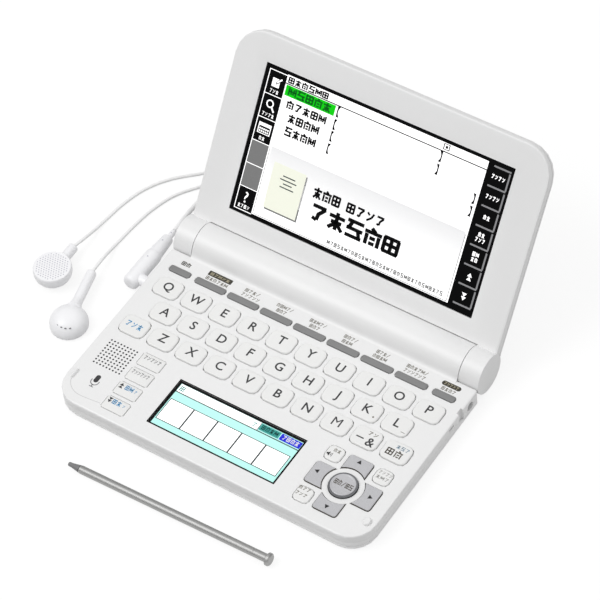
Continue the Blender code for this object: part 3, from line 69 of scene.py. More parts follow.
def linear(colour: str) -> tuple[float, float, float, float]:
    """Turns an sRGB hex colour into a linear one.

    Args:
        colour: Six hex digits after a hash.

    Returns:
        Red, green and blue as linear values, and an alpha of 1.
    """
    levels = [int(colour[i:i + 2], 16) / 255 for i in (1, 3, 5)]
    red, green, blue = (c / 12.92 if c <= 0.04045 else ((c + 0.055) / 1.055) ** 2.4 for c in levels)
    return red, green, blue, 1.0


def add_node(tree: bpy.types.NodeTree, kind: str, inputs: dict, **settings: object) -> bpy.types.Node:
    """Adds a node with its settings, values and links.

    Args:
        tree: The node tree.
        kind: Blender's name for the node.
        inputs: Value or output socket for each input, by the input's name or number.
        **settings: Properties of the node.

    Returns:
        The new node.
    """
    node = tree.nodes.new(kind)
    for name, value in settings.items():
        setattr(node, name, value)
    for name, value in inputs.items():
        if isinstance(value, bpy.types.NodeSocket):
            tree.links.new(value, node.inputs[name])
        else:
            node.inputs[name].default_value = value
    return node


@dataclass(frozen=True)
class Finish:
    """A moulded, painted or printed surface: one colour with faint mottle and a fine grain."""

    name: str
    colour: str
    roughness: float
    metallic: float = 0.0
    ior: float = 1.5
    coat: float = 0.0
    specular: float = 0.5
    mottle: float = 0.02
    mottle_mm: float = 6.0
    grain_mm: float = 0.25
    grain_depth_mm: float = 0.004
    glow: float = 0.0

    def make(self) -> Material:
        """Builds the material once and returns it."""
        known = bpy.data.materials.get(self.name)
        if known:
            return known
        material = bpy.data.materials.new(self.name)
        material.use_nodes = True
        tree = material.node_tree
        shader = tree.nodes["Principled BSDF"]
        shader.inputs["Roughness"].default_value = self.roughness
        shader.inputs["Metallic"].default_value = self.metallic
        if self.metallic < 1.0:
            shader.inputs["IOR"].default_value = self.ior
        shader.inputs["Coat Weight"].default_value = self.coat
        shader.inputs["Specular IOR Level"].default_value = self.specular
        place = add_node(tree, "ShaderNodeTexCoord", {}).outputs["Object"]
        colour = self.pattern(tree, place)
        tree.links.new(colour, shader.inputs["Base Color"])
        if self.glow:
            tree.links.new(colour, shader.inputs["Emission Color"])
            shader.inputs["Emission Strength"].default_value = self.glow
        bump = self.relief(tree, place)
        tree.links.new(bump, shader.inputs["Normal"])
        return material

    def pattern(self, tree: bpy.types.NodeTree, place: bpy.types.NodeSocket) -> bpy.types.NodeSocket:
        """Adds the nodes for the colour.

        Args:
            tree: The node tree.
            place: Object coordinates.

        Returns:
            The colour's output socket.
        """
        cloud = add_node(tree, "ShaderNodeTexNoise", {"Vector": place, "Scale": 1 / (self.mottle_mm * MM),
                                                      "Detail": 3.0})
        base = linear(self.colour)
        shade = tuple(c * (1 - self.mottle) for c in base[:3]) + (1.0,)
        return self.mixed(tree, cloud.outputs["Fac"], shade, base)

    @staticmethod
    def mixed(tree: bpy.types.NodeTree, factor: object, first: object,
              second: object) -> bpy.types.NodeSocket:
        """Mixes two colours.

        Args:
            tree: The node tree.
            factor: Share of the second colour, a number or a socket.
            first: The first colour, a value or a socket.
            second: The second colour, a value or a socket.

        Returns:
            The mixed colour's socket.
        """
        return add_node(tree, "ShaderNodeMixRGB", {"Fac": factor, "Color1": first,
                                                   "Color2": second}).outputs["Color"]

    def relief(self, tree: bpy.types.NodeTree, place: bpy.types.NodeSocket) -> bpy.types.NodeSocket:
        """Adds the fine grain.

        Args:
            tree: The node tree.
            place: Object coordinates.

        Returns:
            The normal's output socket.
        """
        grain = add_node(tree, "ShaderNodeTexNoise", {"Vector": place, "Scale": 1 / (self.grain_mm * MM),
                                                      "Detail": 2.0})
        return add_node(tree, "ShaderNodeBump", {"Height": grain.outputs["Fac"], "Strength": 1.0,
                                                 "Distance": self.grain_depth_mm * MM}).outputs["Normal"]


@dataclass(frozen=True)
class FlakePaint(Finish):
    """Silver paint on plastic: small flakes that catch the light one by one."""

    flake_mm: float = 0.12

    def pattern(self, tree: bpy.types.NodeTree, place: bpy.types.NodeSocket) -> bpy.types.NodeSocket:
        """Adds flakes of unlike brightness, and returns the colour's socket."""
        flakes = add_node(tree, "ShaderNodeTexVoronoi", {"Vector": place, "Scale": 1 / (self.flake_mm * MM)})
        level = add_node(tree, "ShaderNodeSeparateColor", {"Color": flakes.outputs["Color"]}).outputs["Red"]
        base = linear(self.colour)
        shade = tuple(c * 0.82 for c in base[:3]) + (1.0,)
        return self.mixed(tree, level, shade, base)


@dataclass(frozen=True)
class DrawnSteel(Finish):
    """Polished steel tube with faint draw marks along X."""

    mark_mm: float = 0.15

    def relief(self, tree: bpy.types.NodeTree, place: bpy.types.NodeSocket) -> bpy.types.NodeSocket:
        """Adds marks that are long along X, and returns the normal's socket."""
        long_way = add_node(tree, "ShaderNodeMapping", {"Vector": place, "Scale": (0.03, 1.0, 1.0)})
        marks = add_node(tree, "ShaderNodeTexNoise", {"Vector": long_way.outputs["Vector"],
                                                      "Scale": 1 / (self.mark_mm * MM), "Detail": 2.0})
        return add_node(tree, "ShaderNodeBump", {"Height": marks.outputs["Fac"], "Strength": 0.6,
                                                 "Distance": self.grain_depth_mm * MM}).outputs["Normal"]


@dataclass(frozen=True)
class LitPixels(Finish):
    """A lit liquid crystal panel behind glass: even colour with a faint dot grid."""

    dot_mm: float = 0.24

    def pattern(self, tree: bpy.types.NodeTree, place: bpy.types.NodeSocket) -> bpy.types.NodeSocket:
        """Adds the dot grid, and returns the colour's socket."""
        grid = add_node(tree, "ShaderNodeTexChecker", {"Vector": place, "Scale": 1 / (self.dot_mm * MM)})
        base = linear(self.colour)
        shade = tuple(c * (1 - self.mottle) for c in base[:3]) + (1.0,)
        return self.mixed(tree, grid.outputs["Fac"], shade, base)


@dataclass(frozen=True)
class FadeLit(LitPixels):
    """A lit area that fades to another colour further down."""

    faded: str = "#FFFFFF"
    span: tuple = (0.0, 0.1)

    def pattern(self, tree: bpy.types.NodeTree, place: bpy.types.NodeSocket) -> bpy.types.NodeSocket:
        """Mixes the two colours along Z, and returns the colour's socket."""
        height = add_node(tree, "ShaderNodeSeparateXYZ", {"Vector": place}).outputs["Z"]
        share = add_node(tree, "ShaderNodeMapRange", {"Value": height, "From Min": self.span[0],
                                                      "From Max": self.span[1]}).outputs["Result"]
        return self.mixed(tree, share, linear(self.faded), linear(self.colour))


@dataclass(frozen=True)
class CircuitBoard(Finish):
    """Glass-fibre board under green solder mask: paler tracks show through."""

    track_colour: str = "#3E8A58"
    track_mm: float = 1.1

    def pattern(self, tree: bpy.types.NodeTree, place: bpy.types.NodeSocket) -> bpy.types.NodeSocket:
        """Adds tracks as thin cell borders, and returns the colour's socket."""
        cells = add_node(tree, "ShaderNodeTexVoronoi", {"Vector": place,
                                                        "Scale": 1 / (3 * self.track_mm * MM)},
                         feature="DISTANCE_TO_EDGE")
        line = add_node(tree, "ShaderNodeMath", {0: cells.outputs["Distance"], 1: 0.06},
                        operation="LESS_THAN").outputs["Value"]
        return self.mixed(tree, line, linear(self.colour), linear(self.track_colour))


@dataclass(frozen=True)
class CellJacket(Finish):
    """Printed film round a cell: a dark body and a pale band by the nub."""

    band_colour: str = "#C9A24A"
    band_mm: float = 12.0

    def pattern(self, tree: bpy.types.NodeTree, place: bpy.types.NodeSocket) -> bpy.types.NodeSocket:
        """Adds a band near the middle of the barrel, and returns the colour's socket."""
        along = add_node(tree, "ShaderNodeSeparateXYZ", {"Vector": place}).outputs["X"]
        away = add_node(tree, "ShaderNodeMath", {0: along}, operation="ABSOLUTE").outputs["Value"]
        band = add_node(tree, "ShaderNodeMath", {0: away, 1: self.band_mm * MM},
                        operation="LESS_THAN").outputs["Value"]
        return self.mixed(tree, band, linear(self.colour), linear(self.band_colour))


# Moulded ABS and polycarbonate with a satin skin: clean white with soft broad highlights
CASE_PLASTIC = Finish("moulded_white_abs", "#EDEDED", 0.36, mottle=0.012, grain_mm=0.3, grain_depth_mm=0.003)
# The same plastic, polished a little more on the caps
KEY_PLASTIC = Finish("moulded_key_abs", "#ECECEB", 0.3, mottle=0.01, grain_depth_mm=0.002)
# Moulded ABS, dyed mid grey, spark-eroded: matt and even
GREY_PLASTIC = Finish("spark_eroded_grey_abs", "#858585", 0.5, mottle=0.06, grain_mm=0.2,
                      grain_depth_mm=0.008)
# Silver lacquer with metal flake on ABS
SILVER_PAINT = FlakePaint("silver_lacquer", "#CACACD", 0.45, metallic=0.2)
# Vacuum-plated ring: dark mirror edge
DARK_CHROME = Finish("dark_chrome_plating", "#7C7D80", 0.42, metallic=0.8, mottle=0.05)
# Drawn and polished stainless steel tube
STEEL = DrawnSteel("polished_stainless_steel", "#ACACAB", 0.5, metallic=1.0, grain_depth_mm=0.004)
# Nickel-plated screw heads
NICKEL = Finish("nickel_plated_steel", "#B9B6AE", 0.28, metallic=1.0, mottle=0.08)
# Printed film round the cells
JACKET = CellJacket("printed_cell_film", "#26282B", 0.32, metallic=0.3)
# Solder mask
BOARD = CircuitBoard("green_solder_mask", "#1E5A36", 0.38, coat=0.2)
# Silicone rubber: cloudy and soft
SILICONE = Finish("grey_silicone_rubber", "#B9BDC1", 0.62, ior=1.41, mottle=0.05)
# Black acrylic behind clear glass: deep and mirror smooth
BLACK_GLASS = Finish("black_acrylic_glass", "#040405", 0.08, specular=0.15, mottle=0.0, grain_depth_mm=0.0)
# Black moulded polyamide, also used as painted shade in the screws' cross slots
BLACK_PLASTIC_AND_SLOT_SHADE = Finish("black_polyamide_and_slot_shade", "#191A1C", 0.5, mottle=0.1, grain_depth_mm=0.008)
# Glossy white polycarbonate of the earphones
EARPHONE_PLASTIC = Finish("glossy_white_polycarbonate", "#F7F7F9", 0.38, coat=0.1, mottle=0.01,
                          grain_depth_mm=0.001)
# Grey acetal of the stylus nib: dull and slightly waxy
NIB_RESIN = Finish("grey_acetal_resin", "#7B7B7C", 0.45, mottle=0.04, grain_depth_mm=0.004)
# Thermoplastic rubber of the cord: satin with a faint drag texture
CORD_RUBBER = Finish("white_thermoplastic_rubber", "#F7F7F7", 0.5, mottle=0.03, mottle_mm=3.0,
                     grain_depth_mm=0.01)


def ink(name: str, colour: str) -> Finish:
    """A matt colour with slightly uneven cover: screen-printed ink, and also painted shade in holes, dimples,
    a deck step and key sides.
    """
    return Finish(name, colour, 0.55, mottle=0.08, mottle_mm=0.5, grain_depth_mm=0.002)


def lit(name: str, colour: str, glow: float = 0.12) -> LitPixels:
    """A colour shown on a lit display."""
    return LitPixels(name, colour, 0.25, specular=0.15, mottle=0.012, grain_depth_mm=0.0, glow=glow)


DARK_INK = ink("dark_grey_ink", "#343436")
BLACK_INK = ink("black_ink", "#18181A")
# Brown-grey print ink, also used as painted shade on the arrow keys' side faces.
BROWN_INK_AND_SIDE_SHADE = ink("brown_grey_ink_and_side_shade", "#5A544B")
GREY_INK = ink("grey_ink", "#77777A")
PALE_INK = ink("pale_grey_ink", "#A9A8A5")
TAN_INK = ink("tan_grey_ink", "#7F7B71")
BOX_INK = ink("dark_brown_ink", "#3A372C")
TAN_ON_DARK = ink("pale_tan_ink", "#B9B197")
BLUE_INK = ink("light_blue_ink", "#3D93C6")
DUST_BLUE_INK = ink("dusty_blue_ink", "#7E96A8")
# Painted shade: a pale grey line that stands for the shadow of a step in the deck.
STEP_LINE_PAINTED_SHADE = ink("moulded_line_shadow", "#D2D2D2")
# Painted shade: the next two colours stand for the shade inside dimples and sound holes.
DIMPLE_PAINTED_SHADE = ink("dimple_shadow_grey", "#77777B")
FAINT_DIMPLE_PAINTED_SHADE = ink("faint_dimple_shadow_grey", "#C6C6CF")
# Painted shade: near black discs for the shade inside the speaker's holes.
HOLE_PAINTED_SHADE = ink("sound_hole_shadow_black", "#2B2B2D")
WHITE_LIT = lit("lit_white", "#FFFFFF", 0.5)
BLACK_LIT = lit("unlit_black", "#08080A", 0.0)
GREY_LIT = lit("lit_grey", "#7E7E7E")
PALE_LIT = lit("lit_pale_grey", "#E4E4E5", 0.2)
GREEN_LIT = lit("lit_green", "#10D512")
DARK_GREEN_LIT = lit("lit_dark_green", "#06701A")
CREAM_LIT = lit("lit_cream", "#EFF1E2", 0.2)
CYAN_LIT = lit("lit_cyan", "#BDF6EE")
TEAL_LIT = lit("lit_teal", "#3F9C94")
DARK_TEAL_LIT = lit("lit_dark_teal", "#0E3B38", 0.0)
BLUE_LIT = lit("lit_blue", "#2A2FD0")
CHROME_LIT = lit("lit_silver_edge", "#8E8E90")
LINE_LIT = lit("lit_line_grey", "#4E5656", 0.0)


# Modelling steps

def only(*objects: Object) -> None:
    """Selects these objects alone and makes the first one active."""
    bpy.ops.object.select_all(action="DESELECT")
    for obj in objects:
        obj.select_set(True)
    bpy.context.view_layer.objects.active = objects[0]


def settle(obj: Object) -> Object:
    """Moves an object's place, turn and scale into its mesh, and returns it."""
    only(obj)
    bpy.ops.object.transform_apply(location=True, rotation=True, scale=True)
    return obj


@contextmanager
def editing(obj: Object, mode: str = "EDGE") -> Iterator[bmesh.types.BMesh]:
    """Opens a mesh in edit mode with nothing selected.

    Args:
        obj: The object.
        mode: What is selected: VERT, EDGE or FACE.

    Yields:
        The mesh being edited.
    """
    only(obj)
    bpy.ops.object.mode_set(mode="EDIT")
    bpy.ops.mesh.select_mode(type=mode)
    bpy.ops.mesh.select_all(action="DESELECT")
    yield bmesh.from_edit_mesh(obj.data)
    bpy.ops.object.mode_set(mode="OBJECT")


def named(name: str) -> Object:
    """Names the object that an operator has just added, and returns it."""
    obj = bpy.context.active_object
    obj.name = name
    obj.data.name = name
    return obj


def smooth(obj: Object, angle: float = 35.0) -> Object:
    """Shades an object smooth up to an angle in degrees, and returns it."""
    only(obj)
    bpy.ops.object.shade_smooth_by_angle(angle=math.radians(angle))
    return obj


def evened(obj: Object) -> Object:
    """Lets the large faces lead the shading, so that flats stay flat, and returns the object."""
    only(obj)
    bpy.ops.object.modifier_add(type="WEIGHTED_NORMAL")
    modifier = obj.modifiers[-1]
    modifier.keep_sharp = True
    bpy.ops.object.modifier_apply(modifier=modifier.name)
    return obj


def paint(obj: Object, finish: Finish) -> Object:
    """Gives an object one finish, and returns it."""
    obj.data.materials.clear()
    obj.data.materials.append(finish.make())
    return obj


def finished(obj: Object, finish: Finish, body: str) -> Object:
    """Paints a piece and lets it ride on a body.

    Args:
        obj: The piece, in place.
        finish: Its finish.
        body: The body that carries it.

    Returns:
        The piece.
    """
    paint(obj, finish)
    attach(obj, body)
    return obj


def moved(obj: Object, matrix: Matrix) -> Object:
    """Applies a matrix to an object's mesh, and returns the object."""
    obj.data.transform(matrix)
    obj.data.update()
    return obj


def copied(obj: Object, name: str, matrix: Matrix) -> Object:
    """Copies an object with its own mesh.

    Args:
        obj: What is copied.
        name: The copy's name.
        matrix: Applied to the copy's mesh.

    Returns:
        The copy.
    """
    twin = obj.copy()
    twin.data = obj.data.copy()
    twin.name = name
    twin.data.name = name
    bpy.context.collection.objects.link(twin)
    return moved(twin, matrix)


def joined(name: str, objects: Sequence[Object]) -> Object:
    """Joins objects into one, and returns it."""
    only(*objects)
    if len(objects) > 1:
        bpy.ops.object.join()
    return named(name)


def discard(*objects: Object) -> None:
    """Removes patterns that have been copied."""
    for obj in objects:
        bpy.data.objects.remove(obj)


def block(name: str, low: Point, high: Point, bevel: float = 0.0, segments: int = 2) -> Object:
    """A box between two corners with rounded edges.

    Args:
        name: The object's name.
        low: Lowest corner, in metres.
        high: Highest corner, in metres.
        bevel: Width of the round on every edge.
        segments: Faces across the round.

    Returns:
        The box.
    """
    low, high = Vector(low), Vector(high)
    bpy.ops.object.select_all(action="DESELECT")
    bpy.ops.mesh.primitive_cube_add(size=1.0, location=(low + high) / 2)
    obj = named(name)
    obj.scale = high - low
    settle(obj)
    if bevel:
        with editing(obj):
            bpy.ops.mesh.select_all(action="SELECT")
            bpy.ops.mesh.bevel(offset=bevel, segments=segments, affect="EDGES")
    return obj


def plate(name: str, size: Point, corner: float, levels: Sequence[tuple[float, float]],
          segments: int = 6) -> Object:
    """A plate with round corners, raised through levels.

    Args:
        name: The object's name.
        size: Width and depth.
        corner: Radius of the corners.
        levels: (inset, height) pairs from the bottom up.
        segments: Faces round each corner.

    Returns:
        The plate, centred on the Z axis.
    """
    inset, height = levels[0]
    width, depth = size[0] - 2 * inset, size[1] - 2 * inset
    bpy.ops.object.select_all(action="DESELECT")
    bpy.ops.mesh.primitive_plane_add(size=1.0, location=(0.0, 0.0, height))
    obj = named(name)
    obj.scale = (width, depth, 1.0)
    settle(obj)
    with editing(obj, "VERT"):
        bpy.ops.mesh.select_all(action="SELECT")
        bpy.ops.mesh.bevel(offset=max(corner - inset, corner / 4), segments=segments, affect="VERTICES")
        bpy.ops.mesh.select_all(action="SELECT")
        for next_inset, next_height in levels[1:]:
            rise = (0.0, 0.0, next_height - height)
            bpy.ops.mesh.extrude_region_move(TRANSFORM_OT_translate={"value": rise})
            next_width, next_depth = size[0] - 2 * next_inset, size[1] - 2 * next_inset
            bpy.ops.transform.resize(value=(next_width / width, next_depth / depth, 1.0),
                                     center_override=(0.0, 0.0, next_height))
            width, depth, height = next_width, next_depth, next_height
        bpy.ops.mesh.select_all(action="SELECT")
        bpy.ops.mesh.normals_make_consistent(inside=False)
    return obj


def turned(name: str, profile: Sequence[tuple[float, float]], steps: int = 48) -> Object:
    """A round piece about the Z axis, drawn up ring by ring.

    Args:
        name: The object's name.
        profile: (radius, height) pairs from the bottom up, none on the axis.
        steps: Faces round the axis.

    Returns:
        The round piece.
    """
    (radius, height), *rest = profile
    bpy.ops.object.select_all(action="DESELECT")
    bpy.ops.mesh.primitive_circle_add(vertices=steps, radius=radius, fill_type="NGON",
                                      location=(0.0, 0.0, height))
    obj = settle(named(name))
    with editing(obj, "VERT"):
        bpy.ops.mesh.select_all(action="SELECT")
        for next_radius, next_height in rest:
            rise = (0.0, 0.0, next_height - height)
            bpy.ops.mesh.extrude_region_move(TRANSFORM_OT_translate={"value": rise})
            bpy.ops.transform.resize(value=(next_radius / radius, next_radius / radius, 1.0),
                                     center_override=(0.0, 0.0, next_height))
            radius, height = next_radius, next_height
        bpy.ops.mesh.select_all(action="SELECT")
        bpy.ops.mesh.normals_make_consistent(inside=False)
    return smooth(obj)


def ring(name: str, outer: float, inner: float, low: float, high: float, steps: int = 48) -> Object:
    """A flat ring about the Z axis.

    Args:
        name: The object's name.
        outer: Outer radius.
        inner: Inner radius.
        low: Height of its underside.
        high: Height of its top.
        steps: Faces round the axis.

    Returns:
        The ring.
    """
    bpy.ops.object.select_all(action="DESELECT")
    bpy.ops.mesh.primitive_circle_add(vertices=steps, radius=outer, fill_type="NOTHING",
                                      location=(0.0, 0.0, low))
    obj = settle(named(name))
    with editing(obj, "VERT"):
        for radius, start, share, rise in ((outer, low, 1.0, high - low), (outer, high, inner / outer, 0.0),
                                           (inner, high, 1.0, low - high), (inner, low, outer / inner, 0.0)):
            if radius == outer and start == low:
                bpy.ops.mesh.select_all(action="SELECT")
            bpy.ops.mesh.extrude_region_move(TRANSFORM_OT_translate={"value": (0.0, 0.0, rise)})
            bpy.ops.transform.resize(value=(share, share, 1.0), center_override=(0.0, 0.0, start + rise))
        bpy.ops.mesh.select_all(action="SELECT")
        bpy.ops.mesh.remove_doubles(threshold=0.001 * MM)
        bpy.ops.mesh.normals_make_consistent(inside=False)
    return smooth(obj)


def prism(name: str, corners: Sequence[Point], thickness: float) -> Object:
    """A flat piece with straight sides, such as a triangle.

    Args:
        name: The object's name.
        corners: (x, y) corners, counter-clockwise.
        thickness: Its height above z = 0.

    Returns:
        The piece.
    """
    bpy.ops.object.select_all(action="DESELECT")
    bpy.ops.mesh.primitive_circle_add(vertices=len(corners), radius=1.0, fill_type="NGON")
    obj = settle(named(name))
    for vertex, (x, y) in zip(obj.data.vertices, corners):
        vertex.co = (x, y, 0.0)
    with editing(obj, "FACE"):
        bpy.ops.mesh.select_all(action="SELECT")
        bpy.ops.mesh.extrude_region_move(TRANSFORM_OT_translate={"value": (0.0, 0.0, thickness)})
        bpy.ops.mesh.select_all(action="SELECT")
        bpy.ops.mesh.normals_make_consistent(inside=False)
    return obj


def stroke(start: Point, end: Point, width: float, thickness: float) -> Object:
    """A straight flat stroke from z = 0 up.

    Args:
        start: (x, y) where it starts.
        end: (x, y) where it ends.
        width: Its width.
        thickness: Its thickness.

    Returns:
        The stroke.
    """
    way = Vector(end) - Vector(start)
    obj = block("stroke", (0.0, -width / 2, 0.0), (way.length, width / 2, thickness))
    turn = Matrix.Rotation(math.atan2(way.y, way.x), 4, "Z")
    return moved(obj, Matrix.Translation((start[0], start[1], 0.0)) @ turn)


def ribbon(name: str, line: Sequence[Point], width: float, thickness: float) -> Object:
    """A narrow flat band along a line, from z = 0 up.

    Args:
        name: The object's name.
        line: (x, y) points.
        width: Its width.
        thickness: Its thickness.

    Returns:
        The band.
    """
    points = [Vector(p[:2]) for p in line]
    left, right = [], []
    for before, here, after in zip([points[0], *points], points, [*points[1:], points[-1]]):
        side = (after - before).normalized().orthogonal() * width / 2
        left.append(here + side)
        right.append(here - side)
    return prism(name, right + left[::-1], thickness)


def lettering(name: str, words: str, height: float, thickness: float, spread: float = 1.0,
              bold: float = 0.0) -> Object:
    """Raised letters, centred on the origin and facing +Z.

    Args:
        name: The object's name.
        words: What they say.
        height: Height of a capital.
        thickness: How thick the ink lies.
        spread: Width as a share of the plain width.
        bold: How far the strokes grow, as a share of the letters' size.

    Returns:
        The letters as a mesh.
    """
    bpy.ops.object.select_all(action="DESELECT")
    bpy.ops.object.text_add()
    obj = bpy.context.active_object
    obj.data.body = words
    obj.data.resolution_u = 4
    obj.data.extrude = 0.01
    obj.data.offset = bold
    only(obj)
    bpy.ops.object.convert(target="MESH")
    obj = settle(named(name))
    xs, _, zs = zip(*(vertex.co for vertex in obj.data.vertices))
    cap_height = 0.682
    scale = height / (cap_height + 2 * bold)
    middle = Vector(((min(xs) + max(xs)) / 2, cap_height / 2, min(zs)))
    size = Matrix.Diagonal((scale * spread, scale, thickness / (max(zs) - min(zs)), 1.0))
    return moved(obj, size @ Matrix.Translation(-middle))


def shell_copy(node: str, name: str, finish: Finish, body: str, angle: float = 32.0) -> Object:
    """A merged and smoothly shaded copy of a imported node, which stands for it.

    Args:
        node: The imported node.
        name: The copy's name.
        finish: Its finish.
        body: The body that carries it.
        angle: Edges sharper than this, in degrees, stay sharp.

    Returns:
        The copy.
    """
    source = frame["nodes"][node]
    obj = bpy.data.objects.new(name, source.data.copy())
    obj.data.name = name
    bpy.context.collection.objects.link(obj)
    with editing(obj, "VERT"):
        bpy.ops.mesh.select_all(action="SELECT")
        bpy.ops.mesh.remove_doubles(threshold=0.001 * MM)
        bpy.ops.mesh.dissolve_limited(angle_limit=math.radians(0.4))
    evened(smooth(obj, angle))
    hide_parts(node)
    return finished(obj, finish, body)


def rim_softened(obj: Object, up: Vector, offset: float) -> Object:
    """Chamfers the outer rim at one end of a tray-shaped copy, and returns it.

    Args:
        obj: The copy.
        up: Direction in which the rim faces.
        offset: Width of the chamfer, in metres.

    Returns:
        The copy.
    """
    turn = up.rotation_difference(Vector((0.0, 0.0, 1.0))).to_matrix()
    flat = [turn @ vertex.co for vertex in obj.data.vertices]
    top = max(point.z for point in flat)
    outline = {(round(flat[i].x, 6), round(flat[i].y, 6))
               for i in geometry.convex_hull_2d([point.xy for point in flat])}
    with editing(obj) as mesh:
        for edge in mesh.edges:
            ends = [turn @ vertex.co for vertex in edge.verts]
            edge.select_set(all(top - end.z < 0.02 * MM and (round(end.x, 6), round(end.y, 6)) in outline
                                for end in ends))
        bpy.ops.mesh.bevel(offset=offset, segments=1, affect="EDGES")
    return evened(obj)


# Generic marks that stand where the real thing has words

class Mark(Enum):
    """Made-up signs of a few strokes, each in a square of side 1: (x0, y0, x1, y1) of each stroke."""

    FIELD = ((0.12, 0.08, 0.12, 0.9), (0.88, 0.08, 0.88, 0.9), (0.06, 0.88, 0.94, 0.88),
             (0.06, 0.1, 0.94, 0.1),
             (0.12, 0.5, 0.88, 0.5), (0.5, 0.1, 0.5, 0.88))
    TREE = ((0.5, 0.0, 0.5, 1.0), (0.06, 0.74, 0.94, 0.74), (0.2, 0.44, 0.8, 0.44), (0.42, 0.34, 0.1, 0.02),
            (0.58, 0.34, 0.9, 0.02))
    GATE = ((0.16, 0.02, 0.16, 0.64), (0.84, 0.02, 0.84, 0.64), (0.02, 0.76, 0.98, 0.76),
            (0.36, 1.0, 0.62, 0.82),
            (0.34, 0.44, 0.66, 0.44), (0.34, 0.14, 0.66, 0.14))
    STEPS = ((0.04, 0.92, 0.96, 0.92), (0.04, 0.5, 0.96, 0.5), (0.04, 0.08, 0.96, 0.08),
             (0.32, 0.92, 0.18, 0.5),
             (0.7, 0.5, 0.84, 0.08))
    COMB = ((0.1, 0.04, 0.1, 0.96), (0.4, 0.18, 0.32, 0.86), (0.62, 0.18, 0.7, 0.86),
            (0.92, 0.04, 0.92, 0.96),
            (0.04, 0.5, 0.96, 0.5))
    HOOK = ((0.12, 0.86, 0.88, 0.86), (0.84, 0.84, 0.52, 0.46), (0.52, 0.52, 0.46, 0.1),
            (0.46, 0.1, 0.2, 0.18))
    DASH = ((0.14, 0.86, 0.4, 0.64), (0.86, 0.9, 0.62, 0.4), (0.62, 0.42, 0.18, 0.08))
    SLASH = ((0.2, 0.02, 0.8, 0.98),)


class MarkMaker:
    """Writes rows of generic marks, copied from one model of each."""

    def __init__(self, weight: float = 0.15) -> None:
        """Models each mark once, as thin strokes in a unit square of unit thickness.

        Args:
            weight: Width of the strokes, as a share of a mark's side.
        """
        self.models: dict[Mark, Object] = {}
        for mark in Mark:
            strokes = [stroke((x0, y0), (x1, y1), weight, 1.0) for x0, y0, x1, y1 in mark.value]
            self.models[mark] = joined(f"mark_{mark.name.lower()}", strokes)

    def row(self, start: Point, size: Point, order: Sequence[Mark], gap: float = 0.12,
            thickness: float = INK_THICKNESS) -> list[Object]:
        """Sets marks in a row.

        Args:
            start: Lower left corner in millimetres: x, y and height.
            size: Width and height of the whole row, in millimetres.
            order: The marks, from left to right.
            gap: Space between marks, as a share of their pitch.
            thickness: How thick they lie, in millimetres.

        Returns:
            The marks, in metres.
        """
        pitch = size[0] / len(order)
        width = pitch * (1 - gap)
        placed = []
        for i, mark in enumerate(order):
            matrix = Matrix.Translation(Vector((start[0] + i * pitch, start[1], start[2])) * MM) @ \
                Matrix.Diagonal((width * MM, size[1] * MM, thickness * MM, 1.0))
            placed.append(copied(self.models[mark], "mark", matrix))
        return placed

    def line(self, x0: float, x1: float, middle: float, height: float, level: float, pattern: str,
             gap: float = 0.1, thickness: float = INK_THICKNESS) -> list[Object]:
        """Sets a pattern between two x, about a middle y, all in millimetres.

        Args:
            x0: Left end.
            x1: Right end.
            middle: y of the line's middle.
            height: Height of the marks.
            level: z on which they lie.
            pattern: One letter for each mark.
            gap: Space between marks, as a share of their pitch.
            thickness: How thick they lie.

        Returns:
            The marks, in metres.
        """
        return self.row((x0, middle - height / 2, level), (x1 - x0, height), marks(pattern), gap, thickness)

    def clear(self) -> None:
        """Removes the models."""
        discard(*self.models.values())


def marks(pattern: str) -> list[Mark]:
    """Reads a short pattern of mark letters.

    Args:
        pattern: One letter for each mark: the first of its name, K for HOOK, A for DASH, / for SLASH.

    Returns:
        The marks.
    """
    letters = {"F": Mark.FIELD, "T": Mark.TREE, "G": Mark.GATE, "S": Mark.STEPS, "C": Mark.COMB,
               "K": Mark.HOOK, "A": Mark.DASH, "/": Mark.SLASH}
    return [letters[letter] for letter in pattern]


# Routes shared with the construction

def smooth_route(points: Sequence[Point], spacing: float) -> list[Vector]:
    """Evenly spaced points on a smooth curve through a route's points.

    Args:
        points: The route.
        spacing: Least distance between the points returned.

    Returns:
        The points.
    """
    route = [Vector(p) for p in points]
    route = [2 * route[0] - route[1], *route, 2 * route[-1] - route[-2]]
    steps = 16
    dense = []
    for a, b, c, d in zip(route, route[1:], route[2:], route[3:]):
        for i in range(steps):
            t = i / steps
            dense.append(0.5 * (2 * b + (c - a) * t + (2 * a - 5 * b + 4 * c - d) * t ** 2
                                + (3 * b - a - 3 * c + d) * t ** 3))
    dense.append(route[-2])
    kept = [dense[0]]
    for point in dense:
        if (point - kept[-1]).length >= spacing:
            kept.append(point)
    if (dense[-1] - kept[-1]).length < spacing / 2:
        kept.pop()
    return kept + [dense[-1]]


